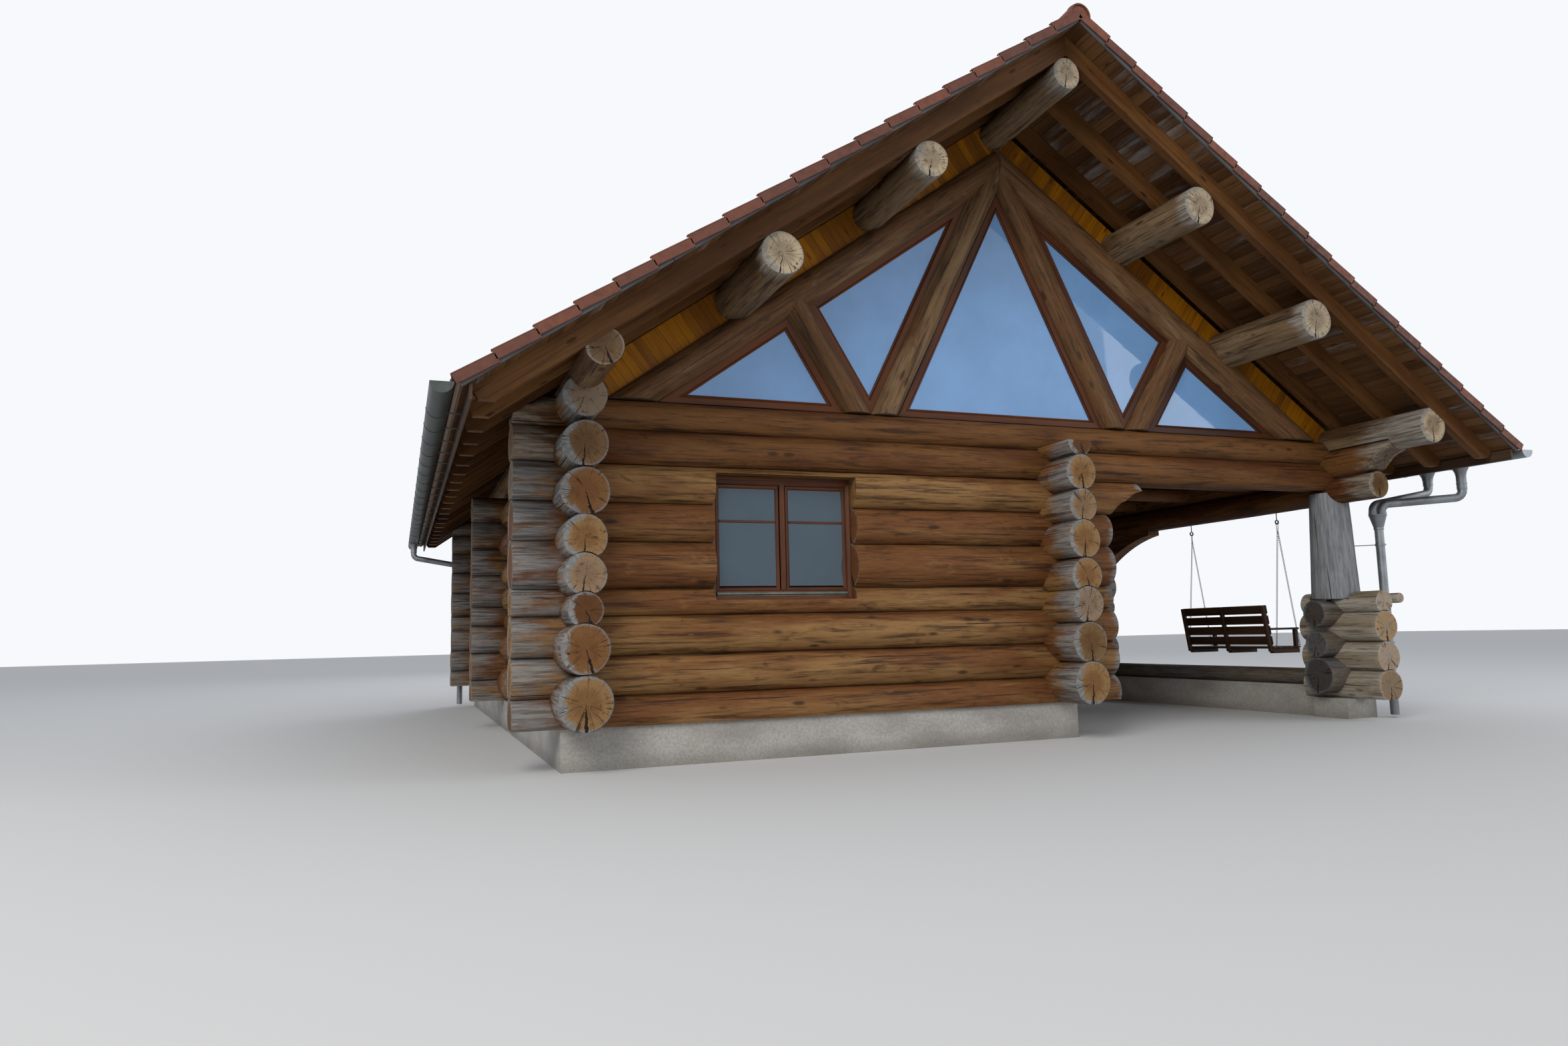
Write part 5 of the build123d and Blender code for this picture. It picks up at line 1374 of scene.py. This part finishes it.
class MakeGables(bpy.types.Operator):
    """Makes the varnished boards, the pane frames and the glass of both gables."""
    bl_idname = "cabin.gables"
    bl_label = "Gable Boards and Panes"

    def execute(self, context):
        tones, sizes = context.scene.cabin_colours, context.scene.cabin_sizes
        yellow = board_material("varnished_gable_boards", tones.varnish, (0.25, 0.088, 0.008),
                                tones.grey, weather=-0.6, knots=0.85, gloss=0.12)
        parts = [gable_boards(across, side, plate, sizes.gable_board_width)
                 for across in (FRONT, REAR)
                 for side, (plate, _, _) in zip((-1, 1), PLATES)]
        put_mesh("gable_boarding", parts, stands_for=["gable_boards"], slot="gable_boards",
                 material=yellow, smooth=False)

        frames = board_material("stained_pane_frames", tones.joinery, JOINERY_DARK, tones.grey,
                                weather=-0.5, knots=0.0, gloss=0.2)
        flat, back, bead = -0.035, 0.035, -0.018
        profile = [(0.001, flat), (0.058, flat), (0.066, flat + 0.006), (0.070, bead),
                   (0.080, bead - 0.006), (0.091, bead), (0.092, 0.0), (0.092, back - 0.01),
                   (0.084, back), (0.001, back)]
        for name, across, inward in (("front_gable", FRONT, Y), ("rear_gable", REAR, -Y)):
            parts = [mitred([(x, across, z) for x, z in corners], inward, profile,
                            tint=0.2 + 0.15 * number)
                     for number, corners in enumerate(pane_corners())]
            put_mesh(f"{name}_joinery", parts, stands_for=[f"{name}_frames"], slot="joinery",
                     material=frames, sharp=25)
        # The gable panes' bright blue is a painted sky reflection.
        dress("gable_glass", glass_material("gable_panes_painted_sky", tones.painted_sky_pane))
        return {"FINISHED"}


def casement(way, line, middle, out):
    """One window: the wooden frame, leaves and bars, then the two drip rails."""
    along, normal = (X, Y * out) if way == "x" else (Y, X * out)
    centre = along * middle + abs(normal) * line
    half = WINDOW_WIDE / 2

    def corner(a, z):
        return centre + along * a + Z * z

    def box(a0, a1, z0, z1):
        return [corner(a0, z0), corner(a1, z0), corner(a1, z1), corner(a0, z1)]

    head = 0.037
    outer = [(0, -0.040), (0.046, -0.040), (0.046, 0.012), (0.036, 0.024), (0.006, 0.038),
             (0, 0.038)]
    wood = [mitred(box(-half, half, WINDOW_SILL, WINDOW_TOP - head), normal, outer, 0.3),
            planks(corner(-half, WINDOW_TOP - head / 2), along * WINDOW_WIDE, Z * head,
                   normal * 0.072, 0.25, soft=0.004)]

    # Two leaves with one glazing bar each
    z0, z1 = WINDOW_SILL + 0.139, WINDOW_SILL + 1.099
    edge = 0.036
    leaf = [(0, -0.030), (edge, -0.030), (edge, 0.004), (edge - 0.010, 0.016),
            (edge - 0.016, 0.020), (0.004, 0.020), (0, 0.016)]
    for side in (-1, 1):
        inner = 0.0715 * side
        a0, a1 = sorted((inner, inner + 0.584 * side))
        wood += [mitred(box(a0 - edge, a1 + edge, z0 - edge - 0.012, z1 + edge), normal, leaf,
                        0.45),
                 planks(corner(a0, z1 - 0.325) + normal * 0.008, along * (a1 - a0), Z * 0.022,
                        normal * 0.016, 0.4, soft=0.004)]
    wood += [planks(corner(0, WINDOW_SILL + 0.10) + normal * 0.022, Z * 1.06, along * 0.056,
                    normal * 0.016, 0.5, soft=0.006),
             planks(corner(-half + 0.03, WINDOW_SILL + 0.072), along * (WINDOW_WIDE - 0.06),
                    Z * 0.060, normal * 0.030, 0.35)]
    rails = [planks(corner(-half + 0.045, WINDOW_SILL + height) + normal * depth,
                    along * (WINDOW_WIDE - 0.09), Z * high, normal * thick, 0.5, soft=soft)
             for height, depth, high, thick, soft in ((0.066, 0.022, 0.030, 0.028, 0.006),
                                                      (0.044, 0.018, 0.012, 0.016, 0.003))]
    return wood, rails


class MakeOpenings(bpy.types.Operator):
    """Makes the casement windows with their bars and drip rails, and the porch door."""
    bl_idname = "cabin.openings"
    bl_label = "Windows and Door"

    def execute(self, context):
        tones = context.scene.cabin_colours
        wood = board_material("mahogany_casements", tones.joinery, JOINERY_DARK, tones.grey,
                              weather=-0.5, knots=0.0, gloss=0.35)
        rail = zinc_material("drip_rail_metal", (0.17, 0.17, 0.14), 0.40)
        made = [casement(*window) for window in WINDOWS]
        put_mesh("casements", [part for woods, _ in made for part in woods],
                 stands_for=["window_frames"], slot="joinery", material=wood, sharp=25)
        put_mesh("drip_rails", [part for _, rails in made for part in rails], slot="zinc",
                 material=rail, sharp=25)
        # The window panes' dark blue tone is painted shade of the room behind, with a painted sky
        # reflection.
        dress("window_glass", glass_material("window_panes", tones.casement))

        doorwood = board_material("plank_door_wood", tones.joinery, JOINERY_DARK, tones.grey,
                                  knots=0.5, weather=-0.4, gloss=0.2)
        inner, post = DOOR_WIDE / 2 - DOOR_FRAME, DOOR_WIDE / 2 - DOOR_FRAME / 2
        deep = X * 0.118
        parts = [planks((MIDDLE, DOOR_MIDDLE + side * post, DOOR_LOW), Z * DOOR_HIGH,
                        Y * DOOR_FRAME, deep, 0.3, soft=0.005) for side in (-1, 1)]
        parts.append(planks(
            (MIDDLE, DOOR_MIDDLE - inner, DOOR_LOW + DOOR_HIGH - DOOR_FRAME / 2), Y * 2 * inner,
            Z * DOOR_FRAME, deep, 0.5, soft=0.005))
        count = 7
        wide = 2 * inner / count
        across = DOOR_MIDDLE - inner + wide * (np.arange(count) + 0.5)
        base = np.stack([np.full(count, MIDDLE), across, np.full(count, DOOR_LOW + 0.002)], axis=1)
        parts.append(planks(base, Z * (DOOR_HIGH - 0.075), Y * (wide - 0.001), X * 0.036,
                            np.linspace(0.1, 0.9, count), soft=0.006))
        for height in (0.30, 1.05, 1.70):
            for face in (-1, 1):
                parts.append(planks(
                    (MIDDLE + face * 0.027, DOOR_MIDDLE - inner + 0.02, DOOR_LOW + height),
                    Y * (2 * inner - 0.04), Z * 0.11, X * 0.018, 0.6, soft=0.005))
        put_mesh("plank_door", parts, stands_for=["porch_door"], slot="joinery",
                 material=doorwood, sharp=25)
        bend = ((0.020, 0.0), (0.045, 0.0), (0.055, 0.004), (0.058, 0.016), (0.058, 0.120))
        handles = [tube([(MIDDLE + face * x, DOOR_MIDDLE + 0.34 - y, DOOR_LOW + 1.03)
                         for x, y in bend], 0.009) for face in (-1, 1)]
        put_mesh("door_handles", handles, material=steel_material())
        return {"FINISHED"}


class MakeRoofTimber(bpy.types.Operator):
    """Makes the roof boards, the verge boards and the eaves boards, and finishes the rafters."""
    bl_idname = "cabin.roof_timber"
    bl_label = "Rafters and Roof Boards"

    def execute(self, context):
        tones, sizes = context.scene.cabin_colours, context.scene.cabin_sizes
        rafter_step = 0.6187
        for side, name in ((-1, "left_rafters"), (1, "right_rafters")):
            dress(name, board_material(
                f"stained_{name}", (0.185, 0.082, 0.026), (0.090, 0.035, 0.011), tones.grey,
                weather=-0.02, knots=0.9, turn=(0, -side * PITCH, 0), pitch=(1, rafter_step)))

        # Three lengths in each row of roof boards, with joints at random
        boards = board_material("stained_roof_boards", (0.160, 0.076, 0.029),
                                (0.078, 0.034, 0.013), tones.grey, knots=0.9)
        rng = np.random.default_rng(11)
        rows = int(SLOPE_LENGTH / sizes.sheathing_width)
        wide = SLOPE_LENGTH / rows
        for side, name in ((-1, "left_sheathing"), (1, "right_sheathing")):
            joints = np.array([[-VERGE + 0.025, *np.sort(rng.uniform(-5.2, 5.2, 2)),
                                VERGE - 0.025] for _ in range(rows)])
            starts, lengths = joints[:, :-1].ravel(), np.diff(joints).ravel()
            x, z = on_slope(side, np.repeat(wide * (np.arange(rows) + 0.5), 3), 0.012, RIDGE)
            base = np.stack([x, starts + 0.001, z], axis=1)
            count = len(x)
            parts = [planks(base, (lengths - 0.002)[:, None] * Y, down_slope(side, wide - 0.003),
                            off_slope(side, 0.023), rng.uniform(0, 1, count),
                            rng.uniform(0, 0.55, count) ** 2 * 1.6, soft=0.004,
                            shift=rng.uniform(0, 60, count))]
            put_mesh(f"{name}_boards", parts, stands_for=[name], slot="sheathing",
                     material=boards, sharp=25)

        grey = board_material("grey_verge_boards", (0.11, 0.10, 0.09), (0.05, 0.045, 0.042),
                              (0.125, 0.135, 0.145), weather=0.75, knots=0.3)
        parts = []
        joints = np.array([0.0, 2.7, 5.1, SLOPE_LENGTH])
        lengths = np.diff(joints) - 0.008
        for side in (-1, 1):
            for end in (-1, 1):
                x, z = on_slope(side, joints[:-1] + 0.006, 0.035, RIDGE)
                base = np.stack([x, np.full(3, end * (VERGE - 0.0125)), z], axis=1)
                along = np.stack([side * lengths * RUN, 0 * lengths, -lengths * RISE], axis=1)
                parts.append(planks(base, along, off_slope(side, 0.068), Y * 0.024 * end,
                                    [0.2, 0.6, 0.4], soft=0.004))
        put_mesh("verge_boards", parts, stands_for=["verge_trims"], slot="verge_trim",
                 material=grey, sharp=25)

        # The dark brown of the eaves boards is painted shade from under the eaves.
        brown = board_material("eaves_boards_painted_shade", (0.085, 0.050, 0.029),
                               (0.042, 0.025, 0.015), tones.grey, weather=0.12, knots=0.8)
        parts = []
        low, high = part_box("eaves_boards")
        joints = np.linspace(low.y, high.y, 5)
        for side in (-1, 1):
            base = np.stack([np.full(4, side * (high.x - 0.0125)), joints[:-1] + 0.001,
                             np.full(4, (low.z + high.z) / 2)], axis=1)
            parts.append(planks(base, Y * (joints[1] - joints[0] - 0.002), Z * (high.z - low.z),
                                X * 0.025 * side, [0.2, 0.7, 0.4, 0.9], soft=0.002))
        put_mesh("eaves_planks", parts, stands_for=["eaves_boards"], slot="eaves_boards",
                 material=brown, sharp=25)
        return {"FINISHED"}


def slope_tiles(side, columns, courses, course, rng):
    """The tiles of one slope, each a little out of line.

    One tile is a closed loop of run and rise at each place across it, with two shallow troughs.
    """
    wide = 2 * (TILE_VERGE - TILE_INSET) / columns
    across = np.array([0.0, 0.02, 0.07, 0.16, 0.27, 0.38, 0.47, 0.53, 0.62, 0.73, 0.84, 0.93, 1.0])
    trough = np.array([0.010, 0.010, 0.004, -0.004, -0.006, -0.004, 0.005, 0.005, -0.004, -0.006,
                       -0.004, 0.004, 0.004])
    run = np.array([0.0, 0.5, 0.975, 1.0, 1.0, 0.5, 0.0]) * course
    rise = np.array([0.016, 0.029, 0.0415, 0.036, 0.018, 0.012, 0.001])
    follows = np.array([0.4, 0.9, 1.0, 0.9, 0.7, 0.3, 0.0])
    places, loop, count = len(across), len(run), columns * courses
    tile_rise = rise[None] + trough[:, None] * follows[None]
    fan = np.array([[0, 1, 5], [0, 5, 6], [1, 2, 4], [1, 4, 5], [2, 3, 4]])
    tris = np.concatenate([fan, fan[:, ::-1] + loop * (places - 1)])
    column, row = np.meshgrid(np.arange(columns), np.arange(courses))
    column, row = column.reshape(-1, 1, 1), row.reshape(-1, 1, 1)

    loose = rng.normal(0, 0.0012, (count, 1, 1))
    runs = run + row * course + rng.normal(0, 0.0015, (count, 1, 1))
    runs = np.clip(runs, 0.02, SLOPE_LENGTH + TILE_OVERHANG)
    rises = np.maximum(tile_rise[None] + loose * (tile_rise[None] > 0.02), 0.0005)
    x, z = on_slope(side, runs, rises, TILE_SEAT)
    y = (across * (wide - 0.002))[:, None] + (column * wide - TILE_VERGE + TILE_INSET)
    at = np.stack(np.broadcast_arrays(x, y, z), axis=-1).reshape(-1, 3)
    state = np.zeros((count, places * loop, 4))
    state[..., 0] = rng.uniform(0, 1, count)[:, None]
    state[..., 1] = (rng.uniform(0, 1, count) ** 3)[:, None] * 0.6
    state[..., 3] = 1
    flip = slice(None, None, -1) if side > 0 else slice(None)
    return {"at": at, "quads": repeated(grid_quads(places, loop), count, places * loop)[:, flip],
            "tris": repeated(tris, count, places * loop)[:, flip],
            "state": state.reshape(-1, 4)}


def verge_flanges(side, courses, course, rng):
    """The flange of each verge tile: a plate over the verge board and a lip along its top."""
    starts = course * np.arange(courses)
    tilt = atan2(0.026, course)
    fall = np.array([side * cos(PITCH - tilt), 0, -sin(PITCH - tilt)])
    square = np.array([side * sin(PITCH - tilt), 0, cos(PITCH - tilt)])
    along = fall * np.minimum(course + 0.010, SLOPE_LENGTH + 0.068 - starts - 0.012)[:, None]
    flanges = []
    for end in (-1, 1):
        x, z = on_slope(side, starts + 0.012, 0.000, TILE_SEAT)
        base = np.stack([x, np.full(courses, end * (TILE_VERGE - 0.010)), z], axis=1)
        tints = rng.uniform(0.35, 1, courses)
        flanges += [planks(base - square * 0.022, along, square * 0.082, Y * 0.017 * end, tints,
                           0.25, soft=0.004),
                    planks(base + square * 0.022 - Y * 0.014 * end, along, square * 0.014,
                           Y * 0.044 * end, tints, 0.1, soft=0.005)]
    return flanges


def ridge_tile(long):
    """One hollow ridge tile along Y: two arcs at each place along it, wider at the collar."""
    turn = np.radians(np.linspace(-14, 194, 19))
    half = len(turn)
    rows = np.array([(0.0, 0.118, 0.103), (0.045, 0.1275, 0.104), (0.062, 0.1275, 0.104),
                     (0.075, 0.119, 0.104), (long + 0.03, 0.112, 0.098)])
    reach = np.repeat(rows[:, 1:], half, axis=1)
    angle = np.concatenate([turn, turn[::-1]])
    at = np.stack(np.broadcast_arrays(reach * np.cos(angle), rows[:, :1], reach * np.sin(angle)),
                  axis=-1)
    place = np.arange(half - 1)
    points = 2 * half
    strip = np.stack([place, place + 1, points - 2 - place, points - 1 - place], axis=1)
    quads = [grid_quads(len(rows), points), strip[:, ::-1], strip + points * (len(rows) - 1)]
    return patch(at, np.concatenate(quads), state=(0.5, 0.1, 0, 1))


class MakeTiles(bpy.types.Operator):
    """Makes the clay tiles of both slopes, their verge flanges, the battens and the ridge."""
    bl_idname = "cabin.tiles"
    bl_label = "Roof Tiles"

    def execute(self, context):
        tones, sizes = context.scene.cabin_colours, context.scene.cabin_sizes
        clay = clay_material("fired_clay_tiles", tones.clay, tones.clay_dark,
                             (0.060, 0.026, 0.019))
        look = {"slot": "roof_tiles", "material": clay, "sharp": 30}
        courses = sizes.tile_courses
        course = (SLOPE_LENGTH + TILE_OVERHANG) / courses
        rng = np.random.default_rng(21)
        for side, name in ((-1, "left_tiles"), (1, "right_tiles")):
            tiles = slope_tiles(side, sizes.tile_columns, courses, course, rng)
            put_mesh(f"{name}_laid", [tiles], stands_for=[name], **look)
            put_mesh(f"{name}_verge", verge_flanges(side, courses, course, rng), **look)

        battens = board_material("roof_battens", (0.26, 0.17, 0.10), (0.16, 0.10, 0.06),
                                 tones.grey, weather=0.2)
        strips = []
        for side in (-1, 1):
            runs = np.append(course * np.arange(1, courses) - 0.05, SLOPE_LENGTH - 0.03)
            x, z = on_slope(side, runs, SHEATHING + BATTENS / 2, RIDGE)
            base = np.stack([x, np.full(courses, -VERGE + 0.03), z], axis=1)
            strips.append(planks(base, Y * (2 * VERGE - 0.06), down_slope(side, 0.05),
                                 off_slope(side, 0.045), rng.uniform(0, 1, courses)))
        put_mesh("tile_battens", strips, slot="sheathing", material=battens, smooth=False)

        count = sizes.ridge_tiles
        long = 2 * TILE_VERGE / count
        centre = TILE_SEAT + 0.016 / RUN - 0.046
        places = np.stack([np.zeros(count), -TILE_VERGE + long * np.arange(count),
                           np.full(count, centre)], axis=1)
        part = copies(ridge_tile(long), np.tile(np.eye(3), (count, 1, 1)), places,
                      rng.uniform(0.2, 1, count))
        part["at"][:, 1] = np.minimum(part["at"][:, 1], TILE_VERGE)
        disc = [(0.002, -0.006), (0.100, -0.006), (0.104, 0.0), (0.100, 0.006), (0.002, 0.006)]
        caps = [turned_shape(disc, (0, end * (TILE_VERGE - 0.02), centre), axis=Y)
                for end in (-1, 1)]
        for cap in caps:
            cap["at"][:, 2] = np.maximum(cap["at"][:, 2], centre - 0.03)
        put_mesh("ridge_tiles_laid", [part, *caps], stands_for=["ridge_tiles"], **look)
        return {"FINISHED"}


class MakeRainwater(bpy.types.Operator):
    """Finishes the gutters and downpipes and adds their beads, collars and clamps."""
    bl_idname = "cabin.rainwater"
    bl_label = "Gutters and Downpipes"

    def execute(self, context):
        zinc = zinc_material("weathered_zinc", (0.27, 0.29, 0.31), 0.42)
        aged = zinc_material("aged_gutter_zinc", (0.075, 0.090, 0.086), 0.50)
        dress("downpipes", zinc)
        for side, name, material in ((-1, "left_gutter", aged), (1, "right_gutter", zinc)):
            dress(name, material)
            x, z = side * (GUTTER_X + 0.080), GUTTER_TOP - 0.0085
            path = np.stack([np.full(24, x), np.linspace(-6.799, 6.799, 24), np.full(24, z)],
                            axis=1)
            put_mesh(f"{name}_bead", [tube(path, 0.0080, 10)], slot="zinc", material=material)

        # Rings of radius and height round the pipe, from the inner edge out and back
        collar = [(0.0500, -0.012), (0.0555, -0.012), (0.0575, -0.006), (0.0575, 0.006),
                  (0.0555, 0.012), (0.0500, 0.012)]
        clamp = [(0.0500, -0.016), (0.0560, -0.016), (0.0565, 0.0), (0.0560, 0.016),
                 (0.0500, 0.016)]
        sleeve = [(0.0500, -0.004), (0.0545, -0.002), (0.0555, 0.004), (0.0555, 0.066),
                  (0.0595, 0.070), (0.0595, 0.078), (0.0540, 0.080)]
        socket = [(0.0500, -0.004), (0.0535, -0.004), (0.0540, 0.032), (0.0500, 0.034)]
        funnel_rim = [(0.097, -0.005), (0.102, -0.004), (0.1035, 0.003), (0.102, 0.008),
                      (0.097, 0.009)]
        parts = []
        for turn, outlets in ((1, OUTLETS), (-1, OUTLETS[:1])):
            x, y = turn * PIPE_X, turn * PIPE_Y
            for outlet, bend in outlets:
                at = (turn * GUTTER_X, turn * outlet, bend)
                flare = 3.011 - bend
                mouth = [(0.0495, flare - 0.02), (0.088, flare), (0.089, flare - 0.004),
                         (0.064, flare - 0.055), (0.056, flare - 0.10), (0.0545, 0.072),
                         (0.0495, 0.072)]
                parts += [turned_shape(mouth, at), turned_shape(sleeve, at)]
            for share in (-1, 1) if len(outlets) > 1 else (0,):
                foot = (x + turn * share * 0.030, y - turn * share * 0.033, 2.472)
                parts.append(turned_shape(socket, foot))
            parts.append(turned_shape(funnel_rim, (x, y, 2.466)))
            parts += [turned_shape(collar, (x, y, height)) for height in (2.300, 1.30, 1.27)]
            toward = unit(np.array([RIGHT * turn - x, FRONT * turn - y, 0.0]))
            side = np.cross(toward, Z)
            for height, reach in ((2.101, 0.42), (0.90, 0.30)):
                middle = np.array([x, y, height])
                parts += [turned_shape(clamp, middle),
                          tube([middle + toward * away for away in (0.054, 0.10, reach)], 0.006,
                               8),
                          tube([middle - toward * 0.062 + side * offset
                                for offset in (-0.018, 0.018)], 0.005, 8)]
        put_mesh("pipe_collars", parts, slot="zinc", material=zinc)
        return {"FINISHED"}


def oval(radius, straight, across, up, count=12):
    """A closed oval: a circle whose two halves are moved apart along one axis."""
    angle = circle(count)[:, None]
    apart = np.sign(np.sin(angle) + 1e-9) * straight
    return radius * np.cos(angle) * across + (radius * np.sin(angle) + apart) * up


class MakeSwing(bpy.types.Operator):
    """Makes the slatted bench, its linked chains and the eyebolts of the porch swing."""
    bl_idname = "cabin.swing"
    bl_label = "Porch Swing"

    def execute(self, context):
        wire = context.scene.cabin_sizes.chain_wire
        wood = board_material("dark_swing_boards", (0.055, 0.025, 0.013), (0.026, 0.012, 0.007),
                              context.scene.cabin_colours.grey, weather=-0.1, knots=0.3)
        steel = steel_material()
        back, front, centre, top = SWING_BACK, SWING_FRONT, SWING_CENTRE, SWING_TOP
        bolts, corners = (centre - 0.78, centre + 0.78), (front - 0.025, back + 0.025)
        rng = np.random.default_rng(31)

        # Five slats on three rails, then four back boards on three leaning posts
        gap = 0.012
        slat = (0.460 - 4 * gap) / 5
        places = back + slat / 2 + np.arange(5) * (slat + gap)
        base = np.stack([places, np.full(5, centre - 0.75), np.full(5, top - 0.014)], axis=1)
        parts = [planks(base, Y * 1.5, X * slat, Z * 0.028, rng.uniform(0, 1, 5), 0.2,
                        soft=0.005)]
        rails = np.array([[back, centre + place * 0.72, top - 0.058] for place in (-1, 0, 1)])
        parts.append(planks(rails, X * 0.46, Y * 0.060, Z * 0.060, [0.3, 0.5, 0.8], soft=0.006))
        lean = radians(9)
        normal, up = np.array([cos(lean), 0, sin(lean)]), np.array([-sin(lean), 0, cos(lean)])
        foot = np.array([back, centre, top])
        posts = np.array([foot + Y * (place * 0.725) - up * 0.06 - normal * 0.025
                          for place in (-1, 0, 1)])
        parts.append(planks(posts, up * 0.61, Y * 0.050, normal * 0.050, [0.2, 0.6, 0.4],
                            soft=0.006))
        gap = 0.026
        high = (0.55 - 4 * gap) / 4
        boards = np.array([foot - Y * 0.75 + up * (gap + high / 2 + number * (high + gap))
                           for number in range(4)])
        parts.append(planks(boards, Y * 1.5, up * high, normal * 0.028, [0.5, 0.2, 0.9, 0.4],
                            0.15, soft=0.005))
        middle = (back + front) / 2
        for end in (-1, 1):
            y = centre + end * 0.715
            parts += [planks((middle - 0.020 - 0.260, y, top + 0.230), X * 0.520, Y * 0.070,
                             Z * 0.028, 0.5, 0.3, soft=0.007),
                      planks((front - 0.025, y, top - 0.014), Z * 0.230, X * 0.050, Y * 0.050,
                             0.4, soft=0.006)]
        put_mesh("bench_boards", parts, body="swing", stands_for=["swing_bench"],
                 slot="swing_wood", material=wood, sharp=25)

        # The links of a run are copies of one oval, each turned a quarter from the last
        pitch, bow = 0.034, 0.0090
        link = tube(oval(bow, pitch / 2 - bow, X, Z), wire / 2, 6, closed=True)
        turns, links = [], []
        for bolt in bolts:
            for reach in corners:
                low = np.array([reach, bolt, top - 0.014])
                head = np.array([RIGHT, bolt, CHAIN_HEAD])
                length = np.linalg.norm(head - low)
                axis = (head - low) / length
                side = unit(np.cross(Y, axis))
                other = np.cross(axis, side)
                count = int(length / (pitch - wire * 0.9))
                step = length / count
                for number in range(count):
                    x_axis, y_axis = (side, other) if number % 2 else (other, -side)
                    turns.append(np.stack([x_axis, y_axis, axis], axis=1))
                    links.append(low + axis * step * (number + 0.5))
        parts = [copies(link, np.array(turns), np.array(links), rng.uniform(0, 1, len(links)))]
        washer = [(0.002, 0), (0.014, 0), (0.014, 0.003), (0.002, 0.003)]
        for end, bolt in zip((-1, 1), bolts):
            head = np.array([RIGHT, bolt, CHAIN_HEAD + 0.045])
            parts.append(tube(head + oval(0.013, 0.032, Y, Z), 0.004, 8, closed=True))
            for reach in corners:
                path = [(reach, centre + end * (0.7505 + offset), top - 0.014)
                        for offset in (0.0, 0.018, 0.036)]
                parts += [tube(path, 0.006, 10),
                          turned_shape(washer, (reach, centre + end * 0.7508, top - 0.014), 16,
                                       axis=Y * end)]
        put_mesh("linked_chains", parts, body="swing", stands_for=["swing_chains"], slot="chain",
                 material=steel)
        dress("swing_eyebolts", steel)
        return {"FINISHED"}


class MakeGround(bpy.types.Operator):
    """Finishes the plinth, the floors and the joists."""
    bl_idname = "cabin.ground"
    bl_label = "Plinth and Floors"

    def execute(self, context):
        grey = context.scene.cabin_colours.grey
        board = 0.14
        dress("plinth", concrete_material())
        dress("floor", board_material(
            "plain_floor_boards", (0.42, 0.26, 0.13), (0.25, 0.14, 0.065), grey, weather=-0.2,
            knots=0.8, turn=(0, 0, 0), pitch=(1, board)))
        dress("upper_floor", board_material(
            "ceiling_boards", (0.16, 0.085, 0.038), (0.085, 0.042, 0.018), grey, weather=-0.3,
            knots=0.8, turn=(0, 0, pi / 2), pitch=(0, board)))
        dress("ceiling_joists", log_finish(context, "joist_logs", turned=(0, 0, 0), checks=0.0))
        return {"FINISHED"}


class CabinPanel(bpy.types.Panel):
    """Lists the sizes, the colours and every operator of the cabin."""
    bl_idname = "VIEW3D_PT_cabin"
    bl_label = "Round Log Cabin"
    bl_space_type = "VIEW_3D"
    bl_region_type = "UI"
    bl_category = "Cabin"

    def draw(self, context):
        for settings in (context.scene.cabin_sizes, context.scene.cabin_colours):
            box = self.layout.box()
            for name in settings.__annotations__:
                box.prop(settings, name)
        for maker in MAKERS:
            self.layout.operator(maker.bl_idname)


MAKERS = (MakeStage, MakeGround, MakeWalls, MakePorch, MakeTrusses, MakeGables, MakeOpenings,
          MakeRoofTimber, MakeTiles, MakeRainwater, MakeSwing)
CLASSES = (CabinSizes, CabinColours, *MAKERS, CabinPanel)


def register():
    """Adds the classes and the settings to Blender."""
    for kind in CLASSES:
        bpy.utils.register_class(kind)
    bpy.types.Scene.cabin_sizes = PointerProperty(type=CabinSizes)
    bpy.types.Scene.cabin_colours = PointerProperty(type=CabinColours)


def unregister():
    """Takes them out again."""
    del bpy.types.Scene.cabin_colours
    del bpy.types.Scene.cabin_sizes
    for kind in reversed(CLASSES):
        bpy.utils.unregister_class(kind)


def main():
    """Makes the whole cabin."""
    register()
    for maker in MAKERS:
        family, name = maker.bl_idname.split(".")
        getattr(getattr(bpy.ops, family), name)()


if __name__ == "__main__":
    main()
